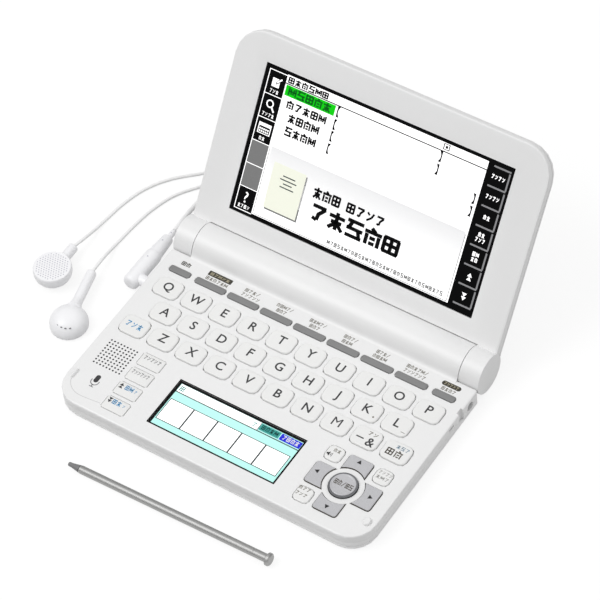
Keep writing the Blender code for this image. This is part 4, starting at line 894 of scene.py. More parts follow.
@dataclass
class Coil:
    """The wound lead on the table behind the case: two layers of a spiral."""

    x: float = -38.0
    y: float = 84.0
    mid_radius: float = 11.2
    pitch: float = 2.47
    layer_turns: float = 4.25
    loop_points: int = 48
    climb_turns: float = 0.5
    tail: float = 13.0
    tail_points: int = 16
    cord_radius: float = 1.0

    def points(self) -> list[Vector]:
        """The centre line, from the plug's side to the splitter's, in metres."""
        turns = 2 * self.layer_turns
        outer = self.mid_radius + self.pitch * self.layer_turns / 2
        count = round(turns * self.loop_points)
        line = []
        for i in range(count + 1):
            t = turns * i / count
            radius = outer - self.pitch * (t if t < self.layer_turns else turns - t)
            climb = min(max((t - self.layer_turns) / self.climb_turns + 0.5, 0.0), 1.0)
            height = self.cord_radius + self.pitch * self.eased(climb)
            angle = 2 * math.pi * t - math.pi / 2
            line.append(Vector((self.x + radius * math.cos(angle), self.y + radius * math.sin(angle),
                                height)))
        straight = Vector((2 * self.cord_radius, 0.0, 0.0))
        last = line[-1]
        line.insert(0, line[0] - straight)
        for i in range(1, self.tail_points + 1):
            share = i / self.tail_points
            line.append(last - Vector((self.tail * share, 0.0, self.pitch * self.eased(share))))
        line.append(line[-1] - straight)
        return [point * MM for point in line]

    @staticmethod
    def eased(share: float) -> float:
        """A share from 0 to 1 that starts and stops gently."""
        return share * share * (3 - 2 * share)


@dataclass
class Bud:
    """One earbud: where it lies, how its stem runs and how its shell is turned."""

    name: str
    x: float
    y: float
    stem_length: float
    stem_turn: float
    face_up: bool


@dataclass
class Earphones:
    """The earphones: plug in the jack, lead with its coil, splitter, two branches and two buds."""

    lead_radius: float = 1.0
    branch_radius: float = 0.7
    plug_end: tuple = (-81.0, 44.6, 4.7)
    plug_x: float = -81.0
    jack_y: float = 15.8
    jack_height: float = 4.7
    wall: float = 74.0
    clearance: float = 0.3
    splitter_length: float = 11.0
    branch_spacing: float = 2.2
    stem_height: float = 4.2
    stem_radius: float = 2.2
    bud_radius: float = 8.2
    bud_height: float = 8.8
    lead_route: tuple = ((-0.0815, 0.0490, 0.0042), (-0.0827, 0.0550, 0.0026), (-0.0835, 0.0610, 0.0013),
                         (-0.0831, 0.0665, 0.0010), (-0.0805, 0.0707, 0.0010), (-0.0760, 0.0729, 0.0010),
                         (-0.0700, 0.0733, 0.0010), (-0.0630, 0.0725, 0.0010), (-0.0560, 0.0708, 0.0010),
                         (-0.0490, 0.0690, 0.0010))
    up_route: tuple = ((-0.0700, 0.0995, 0.0008), (-0.0760, 0.0952, 0.0007), (-0.0830, 0.0877, 0.0007),
                       (-0.0909, 0.0797, 0.0007), (-0.1011, 0.0700, 0.0007), (-0.1075, 0.0600, 0.0007),
                       (-0.1108, 0.0490, 0.0007), (-0.1122, 0.0380, 0.0008), (-0.1125, 0.0300, 0.0018),
                       (-0.1124, 0.0235, 0.0036))
    down_route: tuple = ((-0.0686, 0.0962, 0.0008), (-0.0735, 0.0895, 0.0007), (-0.0800, 0.0815, 0.0007),
                         (-0.0879, 0.0725, 0.0007), (-0.0948, 0.0625, 0.0007), (-0.0985, 0.0508, 0.0007),
                         (-0.1000, 0.0390, 0.0007), (-0.1005, 0.0300, 0.0008), (-0.1002, 0.0240, 0.0018),
                         (-0.0993, 0.0175, 0.0036))

    def __post_init__(self) -> None:
        """Places the coil and the two buds."""
        self.coil = Coil(cord_radius=self.lead_radius)
        self.buds = (Bud("earbud_left", -112.8, 1.2, 15.5, 2.0, True),
                     Bud("earbud_right", -92.2, -16.2, 26.2, 14.0, False))

    def tube(self, name: str, points: Sequence[Vector], radius: float) -> Object:
        """A cord as a curve with a round section and closed ends.

        Args:
            name: The object's name.
            points: Its centre line, in metres.
            radius: Its radius, in millimetres.

        Returns:
            The curve.
        """
        curve = bpy.data.curves.new(name, "CURVE")
        curve.dimensions = "3D"
        curve.bevel_depth = radius * MM
        curve.bevel_resolution = 4
        curve.use_fill_caps = True
        spline = curve.splines.new("POLY")
        spline.points.add(len(points) - 1)
        for target, point in zip(spline.points, points):
            target.co = (*point, 1.0)
        spline.use_smooth = True
        obj = bpy.data.objects.new(name, curve)
        bpy.context.collection.objects.link(obj)
        curve.materials.append(CORD_RUBBER.make())
        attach(obj, "base")
        return obj

    def build(self) -> list[Object]:
        """Models the earphones with their cords, and returns the pieces."""
        plug = self.plug()
        splitter = self.splitter()
        coil = self.coil.points()
        into_coil = coil[0] - Vector((self.clearance, 0.0, 0.0)) * MM
        before = into_coil - Vector((4 * self.lead_radius, 0.0, 0.0)) * MM
        start = Vector(self.plug_end) * MM
        lead = smooth_route([start, *self.lead_route, before, into_coil], 1.5 * self.lead_radius * MM)
        line = lead[:-1] + coil
        cord = self.tube("lead_with_coil", line, self.lead_radius)
        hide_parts("earphone_lead", "earphone_coil")
        pieces = [plug, splitter, cord]
        for bud, route, side in zip(self.buds, (self.up_route, self.down_route), (1, -1)):
            shell, extras = self.bud(bud)
            tail = coil[-1]
            first = Vector((tail.x - (2 * self.clearance + self.splitter_length) * MM,
                            tail.y + side * self.branch_spacing / 2 * MM, self.lead_radius * MM))
            turn = math.radians(bud.stem_turn)
            reach = bud.stem_length + self.clearance
            end = Vector((bud.x - reach * math.sin(turn), bud.y + reach * math.cos(turn),
                          self.stem_height)) * MM
            second = first - Vector((4 * self.branch_radius, 0.0, 0.0)) * MM
            points = smooth_route([first, second, *route, end], 1.5 * self.branch_radius * MM)
            name = "branch_cord_left" if side > 0 else "branch_cord_right"
            branch = self.tube(f"soft_{name}", points, self.branch_radius)
            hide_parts(name)
            pieces += [branch, shell, *extras]
        return pieces

    def plug(self) -> Object:
        """The right-angled plug with its handle along the case and its strain relief."""
        front, shoulder, neck_end, relief_end = -4.5, 13.4, 24.3, 28.5
        handle = turned("plug_handle", [(r * MM, h * MM) for r, h in (
            (1.6, front), (2.5, front + 0.12), (3.2, front + 0.6), (3.5, front + 1.3), (3.6, front + 2.3),
            (3.6, shoulder - 0.5), (3.52, shoulder), (3.3, shoulder + 0.55), (3.18, shoulder + 1.0),
            (2.5, neck_end - 0.9), (2.3, neck_end - 0.25), (1.9, neck_end), (1.3, neck_end + 0.02),
            (1.26, relief_end - 0.8), (1.12, relief_end - 0.15), (1.0, relief_end))])
        moved(handle, Matrix.Rotation(math.radians(-90.0), 4, "X"))
        reach = -self.plug_x - self.wall
        boss = turned("plug_boss", [(2.6 * MM, 0.0), (2.6 * MM, (reach - self.clearance) * MM)], 32)
        pin = turned("plug_pin", [(0.95 * MM, 0.0), (1.05 * MM, 0.2 * MM), (1.05 * MM, 8.5 * MM)], 24)
        moved(boss, Matrix.Rotation(math.radians(90.0), 4, "Y"))
        moved(pin, Matrix.Translation(((reach - 0.4) * MM, 0.0, 0.0)) @ Matrix.Rotation(math.radians(90.0),
                                                                                        4, "Y"))
        # Painted shade: small faint grey dots stand for the shade in the handle's dimples.
        dots = []
        for along, radius in ((9.6, 3.6), (20.4, 2.74), (26.4, 1.27)):
            dot = turned("plug_dot", [(0.34 * MM, 0.0), (0.3 * MM, 0.1 * MM)], 12)
            dots.append(moved(dot, Matrix.Translation((0.0, along * MM, (radius - 0.05) * MM))))
        for part, finish in ((handle, EARPHONE_PLASTIC), (boss, EARPHONE_PLASTIC), (pin, NICKEL)):
            paint(part, finish)
        for dot in dots:
            paint(dot, FAINT_DIMPLE_PAINTED_SHADE)
        obj = joined("right_angle_plug", [handle, boss, pin, *dots])
        moved(obj, Matrix.Translation(Vector((self.plug_x, self.jack_y, self.jack_height)) * MM))
        smooth(obj)
        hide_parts("earphone_plug")
        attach(obj, "base")
        return obj

    def splitter(self) -> Object:
        """The flat moulding where the lead becomes two branches."""
        low, high = (Vector(corner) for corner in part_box("cord_splitter"))
        size = high - low
        obj = plate("branch_splitter", (size.x, size.y), 1.2 * MM,
                    ((0.5 * MM, 0.0), (0.15 * MM, 0.2 * MM), (0.0, 0.6 * MM), (0.0, size.z - 0.7 * MM),
                     (0.2 * MM, size.z - 0.2 * MM), (0.6 * MM, size.z)))
        moved(obj, Matrix.Translation(((low.x + high.x) / 2, (low.y + high.y) / 2, low.z)))
        smooth(obj, 50.0)
        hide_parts("cord_splitter")
        return finished(obj, EARPHONE_PLASTIC, "base")

    def bud(self, bud: Bud) -> tuple[Object, list[Object]]:
        """One bud with its stem.

        Args:
            bud: Which bud.

        Returns:
            The shell, and the loose details on it.
        """
        radius, height = self.bud_radius, self.bud_height
        up = ((0.5, 0.0), (0.56, 0.02), (0.74, 0.13), (0.88, 0.26), (0.96, 0.39), (1.0, 0.54), (1.0, 0.8),
              (0.995, 0.85), (0.98, 0.885), (0.965, 0.9), (0.95, 0.9), (0.94, 0.893), (0.55, 0.905),
              (0.25, 0.912))
        down = ((0.8, 0.0), (0.88, 0.015), (0.95, 0.06), (0.99, 0.12), (1.0, 0.2), (1.0, 0.32), (0.975, 0.44),
                (0.92, 0.57), (0.83, 0.7), (0.7, 0.81), (0.54, 0.9), (0.34, 0.96), (0.14, 0.985))
        shares = up if bud.face_up else down
        shell = turned("bud_shell", [(r * radius * MM, h * height * MM) for r, h in shares], 64)
        width, end = self.stem_radius, bud.stem_length
        stem = turned("bud_stem", [(r * MM, h * MM) for r, h in (
            (width, 0.0), (width * 1.5, 6.6), (width * 1.32, 7.4), (width * 1.14, 8.2), (width * 1.03, 9.2),
            (width, 10.2), (width, end - 1.0), (width * 0.97, end - 0.5), (width * 0.87, end - 0.12),
            (width * 0.7, end))], 40)
        moved(stem, Matrix.Translation((0.0, 0.0, self.stem_height * MM))
              @ Matrix.Rotation(math.radians(bud.stem_turn), 4, "Z")
              @ Matrix.Rotation(math.radians(-90.0), 4, "X"))
        parts = [shell, stem]
        if not bud.face_up:
            parts.append(self.saddle(bud))
        obj = joined(f"{bud.name}_shell", parts)
        place = Matrix.Translation((bud.x * MM, bud.y * MM, 0.0))
        moved(obj, place)
        smooth(obj)
        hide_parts(bud.name)
        finished(obj, EARPHONE_PLASTIC, "base")
        return obj, [self.grille(bud, place)]

    def saddle(self, bud: Bud) -> Object:
        """The neck that runs from the stem up onto the dome, and merges with it."""
        width = self.stem_radius
        neck = turned("bud_neck", [(r * width * MM, h * MM) for r, h in (
            (1.3, 0.0), (1.22, 2.5), (1.12, 5.0), (1.04, 7.5), (0.98, 9.5), (0.9, 11.0))], 40)
        tilt = math.atan2(1.7, 10.0)
        return moved(neck, Matrix.Rotation(math.radians(bud.stem_turn), 4, "Z")
                     @ Matrix.Translation((0.0, 1.6 * MM, 5.75 * MM))
                     @ Matrix.Rotation(math.radians(-90.0) - tilt, 4, "X"))

    def grille(self, bud: Bud, place: Matrix) -> Object:
        """The sound holes of a bud, as dots or slots in painted shade that stand for the holes' dark insides.

        Args:
            bud: Which bud.
            place: Where the bud lies.

        Returns:
            The painted shade marks as one piece.
        """
        holes = []
        if bud.face_up:
            model = turned("hole", [(0.3 * MM, 0.0), (0.27 * MM, 0.1 * MM)], 10)
            pitch = 1.22
            for row in range(-6, 7):
                for column in range(-6, 7):
                    x, y = (column + (0.5 if row % 2 else 0.0)) * pitch, row * pitch * 0.87
                    distance = math.hypot(x, y) / self.bud_radius
                    if distance < 0.89:
                        z = self.bud_height * (0.912 - 0.028 * max(distance - 0.25, 0.0)) - 0.06
                        holes.append(copied(model, "hole", Matrix.Translation((x * MM, y * MM, z * MM))))
        else:
            # Painted shade: dark slots stand for the shade inside the sound holes.
            model = block("slot", (-0.42 * MM, -0.24 * MM, -0.16 * MM), (0.42 * MM, 0.24 * MM, 0.16 * MM),
                          0.1 * MM)
            for x, y in ((-95.0, -21.0), (-93.0, -22.1), (-91.0, -22.3), (-89.2, -22.0), (-87.5, -21.0)):
                reach = Vector((x - bud.x, y - bud.y))
                angle = math.atan2(reach.y, reach.x)
                spot = Matrix.Translation(Vector((reach.x, reach.y, self.bud_height * 0.763)) * MM)
                holes.append(copied(model, "slot", spot @ Matrix.Rotation(angle + math.pi / 2, 4, "Z")
                                    @ Matrix.Rotation(math.radians(42.0), 4, "X")))
        discard(model)
        obj = joined(f"{bud.name}_sound_holes", holes)
        moved(obj, place)
        return finished(obj, FAINT_DIMPLE_PAINTED_SHADE if bud.face_up else DIMPLE_PAINTED_SHADE, "base")


# The case

@dataclass
class Case:
    """The two case halves, the battery cover and what they hold."""

    screw_radius: float = 0.85
    screw_depth: float = 0.35
    rim_chamfer: float = 0.55
    groove_levels: tuple = (5.65, 5.35, 4.75)
    groove_depth: float = 0.4
    groove_back: float = 30.0
    half_width: float = 74.0
    front: float = -52.75
    corner: float = 11.5
    deck: float = 9.3
    grille: tuple = (-61.3, -25.1)
    grille_pitch: float = 1.58
    grille_count: int = 9
    microphone_at: tuple = (-61.2, -39.5)

    def build(self) -> list[Object]:
        """Dresses the case, and returns its pieces."""
        pieces = [
            shell_copy("base_upper_case", "upper_case_shell", CASE_PLASTIC, "base"),
            shell_copy("base_lower_case", "lower_case_shell", CASE_PLASTIC, "base"),
            shell_copy("battery_cover", "battery_cover_shell", CASE_PLASTIC, "base"),
            shell_copy("battery_left", "cell_left", JACKET, "base"),
            shell_copy("battery_right", "cell_right", JACKET, "base"),
            shell_copy("hinge_pin_left", "pin_left", STEEL, "base"),
            shell_copy("hinge_pin_right", "pin_right", STEEL, "base"),
            shell_copy("main_board", "circuit_board", BOARD, "base"),
            shell_copy("key_mat", "rubber_mat", SILICONE, "base"),
            shell_copy("speaker", "speaker_unit", BLACK_PLASTIC_AND_SLOT_SHADE, "base"),
            shell_copy("earphone_jack", "jack_socket", BLACK_PLASTIC_AND_SLOT_SHADE, "base"),
        ]
        self.groove(pieces[0])
        rim_softened(pieces[1], Vector((0.0, 0.0, 1.0)), self.rim_chamfer * MM)
        pieces += [self.screws(), *self.microphone(), self.sound_holes(), self.contour()]
        return pieces

    def groove(self, shell: Object) -> None:
        """Presses a shallow groove into the upper case's front and side walls.

        Args:
            shell: The upper case's copy.
        """
        bottom = self.groove_levels[1]
        half, front, corner = self.half_width, self.front, self.corner
        only(shell)
        bpy.ops.object.mode_set(mode="EDIT")
        for level in self.groove_levels:
            bpy.ops.mesh.select_all(action="SELECT")
            bpy.ops.mesh.bisect(plane_co=(0.0, 0.0, level * MM), plane_no=(0.0, 0.0, 1.0))
        bpy.ops.object.mode_set(mode="OBJECT")
        for vertex in shell.data.vertices:
            x, y, z = vertex.co / MM
            if abs(z - bottom) > 0.001 or y > self.groove_back:
                continue
            inner = Vector((max(abs(x) - (half - corner), 0.0), max(front + corner - y, 0.0)))
            if inner.length > corner - 0.02:
                inner *= (inner.length - self.groove_depth) / inner.length
                vertex.co.x = math.copysign((half - corner + inner.x) * MM, x) if inner.x else x * MM
                vertex.co.y = (front + corner - inner.y) * MM if inner.y else y * MM
        evened(smooth(shell, 20.0))

    def screws(self) -> Object:
        """Four small cross-headed screws in the underside's holes."""
        radius, depth = self.screw_radius * MM, self.screw_depth * MM
        head = turned("screw", [(radius, depth + 0.5 * MM), (radius, depth + 0.12 * MM),
                                (radius * 0.8, depth)], 24)
        # Painted shade: black blocks stand for the shade in the cross slots.
        slots = [block("slot", (-0.5 * MM, -0.1 * MM, depth - 0.02 * MM),
                       (0.5 * MM, 0.1 * MM, depth + 0.1 * MM)),
                 block("slot", (-0.1 * MM, -0.5 * MM, depth - 0.02 * MM),
                       (0.1 * MM, 0.5 * MM, depth + 0.1 * MM))]
        for slot in slots:
            paint(slot, BLACK_PLASTIC_AND_SLOT_SHADE)
        paint(head, NICKEL)
        model = joined("screw", [head, *slots])
        low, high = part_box("base_lower_case")
        wall, inset = 1.6 * MM, 12.5 * MM
        places = [(side * (high.x - wall - inset), y) for side in (-1, 1)
                  for y in (low.y + wall + inset, 24.0 * MM)]
        heads = [copied(model, "screw", Matrix.Translation((x, y, 0.0))) for x, y in places]
        discard(model)
        obj = joined("underside_screws", heads)
        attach(obj, "base")
        return obj

    def microphone(self) -> list[Object]:
        """A small printed microphone beside the speaker grille, as plain shapes."""
        x, y = self.microphone_at
        capsule = plate("mic_head", (2.0 * MM, 3.9 * MM), 0.99 * MM, ((0.0, 0.0), (0.0, INK_THICKNESS * MM)))
        moved(capsule, Matrix.Translation((0.0, 1.55 * MM, INK_THICKNESS * MM)))
        arc = [(1.75 * math.cos(angle), 1.75 * math.sin(angle)) for angle in
               (math.radians(180.0 + 12.0 * i) for i in range(16))]
        cradle = ribbon("mic_cradle", [Vector(p) * MM for p in ((-1.75, 0.7), *arc, (1.75, 0.7))], 0.36 * MM,
                        INK_THICKNESS * MM)
        stem = block("mic_stem", (-0.2 * MM, -2.7 * MM, 0.0), (0.2 * MM, -1.7 * MM, INK_THICKNESS * MM))
        foot = block("mic_foot", (-1.0 * MM, -2.95 * MM, 0.0), (1.0 * MM, -2.6 * MM, INK_THICKNESS * MM))
        head = moved(capsule, Matrix.Translation(Vector((x, y, self.deck)) * MM))
        stand = moved(joined("microphone_stand", [cradle, stem, foot]),
                      Matrix.Translation(Vector((x, y, self.deck)) * MM))
        head.name = "microphone_head"
        return [finished(head, DARK_INK, "base"),
                finished(stand, GREY_INK, "base")]

    def sound_holes(self) -> Object:
        """Painted shade: dark discs over the speaker's holes that stand for the shade inside them, a square
        of nine by nine.
        """
        model = turned("mouth", [(0.42 * MM, 0.0), (0.42 * MM, 0.02 * MM)], 10)
        half = (self.grille_count - 1) / 2
        spots = [((i - half) * self.grille_pitch, (j - half) * self.grille_pitch)
                 for i in range(self.grille_count) for j in range(self.grille_count)]
        x, y = self.grille
        mouths = [copied(model, "mouth", Matrix.Translation(Vector((x + dx, y + dy, self.deck)) * MM))
                  for dx, dy in spots]
        discard(model)
        return finished(joined("speaker_hole_painted_shade", mouths), HOLE_PAINTED_SHADE, "base")

    def contour(self) -> Object:
        """A painted shade line: the faint curved shadow of the step at the deck's front left corner."""
        points = ((-70.9, -41.7, 0.0), (-69.8, -44.5, 0.0), (-67.5, -46.7, 0.0), (-64.3, -48.0, 0.0),
                  (-59.8, -48.0, 0.0), (-53.0, -47.3, 0.0))
        line = smooth_route([Vector(p) * MM for p in points], 0.8 * MM)
        band = ribbon("deck_step_painted_shade", line, 0.28 * MM, 0.01 * MM)
        moved(band, Matrix.Translation((0.0, 0.0, self.deck * MM)))
        return finished(band, STEP_LINE_PAINTED_SHADE, "base")


# Keys

@dataclass
class Keyboard:
    """The lettered keys and the three small keys round the arrow pad."""

    flange: float = 0.65
    corner: float = 2.3
    quick_corner: float = 1.8
    letter_height: float = 4.1
    letter_rise: float = 0.5
    letter_bold: float = 0.013
    flange_thickness: float = 0.6
    rows: tuple = ("qwertyuiop", "asdfghjkl", "zxcvbnm")
    special: tuple = ("shift", "symbol", "delete")
    quick: tuple = ("voice_key", "jump_key", "back_key")

    def cap(self, node: str, corner: float) -> Object:
        """A key cap with a soft edge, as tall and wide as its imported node.

        Args:
            node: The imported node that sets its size.
            corner: Radius of its corners, in millimetres.

        Returns:
            The cap, centred on the Z axis.
        """
        low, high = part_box(node)
        width, depth = high.x - low.x, high.y - low.y
        flange, rise = self.flange * MM, self.flange_thickness * MM
        top = high.z
        levels = ((0.0, low.z), (0.0, low.z + rise), (flange, low.z + rise), (flange, top - 0.42 * MM),
                  (flange + 0.05 * MM, top - 0.24 * MM), (flange + 0.17 * MM, top - 0.1 * MM),
                  (flange + 0.36 * MM, top - 0.02 * MM), (flange + 0.75 * MM, top))
        obj = plate("key_cap", (width, depth), (corner + self.flange) * MM, levels, 8)
        return smooth(obj, 60.0)

    def build(self, maker: MarkMaker) -> list[Object]:
        """Models the keys and their legends.

        Args:
            maker: Writes generic marks.

        Returns:
            The pieces.
        """
        pieces = []
        model = self.cap("key_q", self.corner)
        names = [f"key_{letter}" for row in self.rows for letter in row] + [f"key_{n}" for n in self.special]
        for node in names:
            pieces.append(self.placed(model, node))
        discard(model)
        small = self.cap("voice_key", self.quick_corner)
        for node in self.quick:
            pieces.append(self.placed(small, node))
        discard(small)
        for row in self.rows:
            for letter in row:
                pieces.append(self.legend(letter))
        pieces += self.special_legends(maker)
        return pieces

    def centre(self, node: str) -> Vector:
        """Middle of a key's top, in metres."""
        low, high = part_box(node)
        return Vector(((low.x + high.x) / 2, (low.y + high.y) / 2, high.z))

    def placed(self, model: Object, node: str) -> Object:
        """Copies a cap to its node's place."""
        spot = self.centre(node)
        obj = copied(model, f"{node}_cap", Matrix.Translation((spot.x, spot.y, 0.0)))
        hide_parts(node)
        return finished(obj, KEY_PLASTIC, f"{node}_body")

    def legend(self, letter: str) -> Object:
        """The printed letter of one key."""
        spot = self.centre(f"key_{letter}")
        obj = lettering(f"letter_{letter}", letter.upper(), self.letter_height * MM, INK_THICKNESS * MM,
                        bold=0.0 if letter == "m" else self.letter_bold)
        moved(obj, Matrix.Translation(spot + Vector((0.0, self.letter_rise * MM, 0.0))))
        return finished(obj, DARK_INK, f"key_{letter}_body")

    def print_on(self, node: str, name: str, parts: Sequence[Object], finish: Finish) -> Object:
        """Joins marks given in x and y and prints them on a key's top.

        Args:
            node: The key.
            name: The print's name.
            parts: The marks, from z = 0.
            finish: The ink.

        Returns:
            The print.
        """
        obj = joined(name, parts)
        moved(obj, Matrix.Translation((0.0, 0.0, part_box(node)[1].z)))
        return finished(obj, finish, f"{node}_body")

    def special_legends(self, maker: MarkMaker) -> list[Object]:
        """Marks on the keys that carry words on the real thing, and the small extra signs."""
        shift = self.centre("key_shift") / MM
        lines = (
            ("key_shift", "shift_marks", BLUE_INK,
             ((shift.x - 4.1, shift.x + 4.1, shift.y + 0.1, 2.9, "KAT", 0.14),)),
            ("key_delete", "delete_marks", BROWN_INK_AND_SIDE_SHADE, ((58.3, 66.0, -9.55, 3.5, "FG", 0.1),)),
            ("key_delete", "delete_note", DUST_BLUE_INK, ((61.2, 67.2, -6.2, 1.8, "TSK", 0.12),)),
            ("key_symbol", "symbol_note", TAN_INK, ((48.0, 52.8, -6.1, 1.9, "KA", 0.14),)),
            ("jump_key", "jump_marks", PALE_INK, ((61.4, 67.7, -19.5, 1.7, "KAKA", 0.12),
                                                  (61.5, 67.4, -21.9, 1.7, "TCK", 0.12))),
            ("back_key", "back_marks", TAN_INK, ((38.3, 43.8, -41.2, 1.7, "GKK", 0.12),
                                                 (38.5, 43.9, -44.0, 1.7, "KAK", 0.12))),
            ("voice_key", "voice_marks", TAN_INK, ((40.6, 44.0, -19.7, 1.7, "GT", 0.12),)),
        )
        pieces = []
        for node, name, finish, rows in lines:
            parts = [part for x0, x1, y, height, pattern, gap in rows
                     for part in maker.line(x0, x1, y, height, 0.0, pattern, gap)]
            pieces.append(self.print_on(node, name, parts, finish))
        sign = lettering("and_sign", "&", 4.1 * MM, INK_THICKNESS * MM, bold=self.letter_bold)
        dash = stroke((44.5 * MM, -9.6 * MM), (47.9 * MM, -9.6 * MM), 0.55 * MM, INK_THICKNESS * MM)
        signs = [moved(sign, Matrix.Translation((51.2 * MM, -9.9 * MM, 0.0))), dash]
        pieces.append(self.print_on("key_symbol", "symbol_signs", signs, DARK_INK))
        dot = turned("k_dot", [(0.42 * MM, 0.0), (0.42 * MM, INK_THICKNESS * MM)], 16)
        moved(dot, Matrix.Translation((45.5 * MM, 1.1 * MM, 0.0)))
        pieces.append(self.print_on("key_k", "key_k_dot", [dot], TAN_INK))
        bar = stroke((58.7 * MM, 0.5 * MM), (60.5 * MM, 0.5 * MM), 0.35 * MM, INK_THICKNESS * MM)
        pieces.append(self.print_on("key_l", "key_l_dash", [bar], PALE_INK))
        pieces.append(self.print_on("voice_key", "sound_sign", self.sound_sign(), BLACK_INK))
        return pieces

    def sound_sign(self) -> list[Object]:
        """A small loudspeaker sign: a box, a horn and two waves."""
        x, y = 39.6, -22.3
        corners = ((x - 0.75, y - 0.4), (x - 0.2, y - 0.4), (x + 0.55, y - 1.1), (x + 0.55, y + 1.1),
                   (x - 0.2, y + 0.4), (x - 0.75, y + 0.4))
        horn = prism("horn", [Vector(p) * MM for p in corners], INK_THICKNESS * MM)
        waves = [stroke(((x + dx) * MM, (y - h) * MM), ((x + dx) * MM, (y + h) * MM), 0.2 * MM,
                        INK_THICKNESS * MM)
                 for dx, h in ((1.05, 0.6), (1.6, 0.95))]
        return [horn, *waves]


@dataclass
class FunctionRow:
    """Nine grey bars on one strip, and the print above them."""

    y: float = 24.5
    depth: float = 2.9
    width: float = 14.6
    pitch: float = 16.2
    end_x: float = 63.8
    end_width: float = 10.0
    corner: float = 0.5
    count: int = 7
    deck: float = 9.3
    rise: float = 0.45
    low: float = 7.2

    def bars(self) -> list[tuple[float, float]]:
        """(x, width) of each bar, from the left."""
        middle = [((i - (self.count - 1) / 2) * self.pitch, self.width) for i in range(self.count)]
        return [(-self.end_x, self.end_width), *middle, (self.end_x, self.end_width)]

    def build(self, maker: MarkMaker) -> list[Object]:
        """Models the bars and the print.

        Args:
            maker: Writes generic marks.

        Returns:
            The pieces.
        """
        top = self.deck + self.rise
        caps = []
        for x, width in self.bars():
            cap = plate("bar", (width * MM, self.depth * MM), self.corner * MM,
                        ((0.0, self.low * MM), (0.0, (top - 0.25) * MM), (0.06 * MM, (top - 0.1) * MM),
                         (0.2 * MM, top * MM)), 5)
            caps.append(moved(cap, Matrix.Translation((x * MM, self.y * MM, 0.0))))
        low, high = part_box("function_key_strip")
        web = block("web", (low.x, low.y + 0.3 * MM, self.low * MM), (high.x, high.y - 0.3 * MM, 7.75 * MM),
                    0.1 * MM)
        strip = smooth(joined("function_bars", [*caps, web]), 50.0)
        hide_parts("function_key_strip")
        finished(strip, GREY_PLASTIC, "function_key_strip_body")
        return [strip, *self.labels(maker)]

    def labels(self, maker: MarkMaker) -> list[Object]:
        """The short lines of marks above each bar, and the two dark boxes."""
        upper, lower = 30.3, 27.9
        rows = ((-35.2, -27.8, upper, "FKT/"), (-35.5, -26.5, lower, "KAKAA"), (-19.5, -11.5, upper, "GFCK/"),
                (-18.2, -13.4, lower, "FGK"), (-3.4, 4.7, upper, "FTCK/"), (-2.1, 2.8, lower, "FGK"),
                (13.1, 19.8, upper, "FGK/"), (13.6, 18.5, lower, "FTC"), (28.6, 35.0, upper, "FKT/"),
                (28.3, 34.9, lower, "GFTC"), (43.0, 53.0, upper, "FGTKC/"), (42.9, 53.1, lower, "KAAKAK"),
                (-53.0, -42.2, 27.7, "FTGKTC"), (60.7, 67.3, 27.7, "FTGK"))
        parts = [part for x0, x1, y, pattern in rows
                 for part in maker.line(x0, x1, y, 1.85, self.deck, pattern, 0.08)]
        parts += maker.line(-66.0, -61.4, 29.05, 2.1, self.deck, "FG", 0.08)
        parts += maker.line(-65.95, -61.35, 29.1, 2.1, self.deck, "FG", 0.08)
        print_piece = finished(joined("function_print", parts), TAN_INK, "base")
        boxes, signs = [], []
        for x0, x1, y0, y1, corner, pattern in ((-53.2, -41.8, 29.0, 31.5, 0.35, "FKCAT"),
                                                (59.6, 68.2, 29.1, 31.3, 1.0, "KAKAK")):
            box = plate("box", ((x1 - x0) * MM, (y1 - y0) * MM), corner * MM,
                        ((0.0, 0.0), (0.0, INK_THICKNESS * MM)))
            middle = Vector(((x0 + x1) / 2, (y0 + y1) / 2, self.deck))
            boxes.append(moved(box, Matrix.Translation(middle * MM)))
            signs += maker.line(x0 + 0.9, x1 - 0.9, middle.y, 1.5, self.deck + INK_THICKNESS, pattern, 0.12,
                                LAYER)
        box_piece = finished(joined("function_label_boxes", boxes), BOX_INK, "base")
        sign_piece = finished(joined("function_label_signs", signs), TAN_ON_DARK, "base")
        return [print_piece, box_piece, sign_piece]


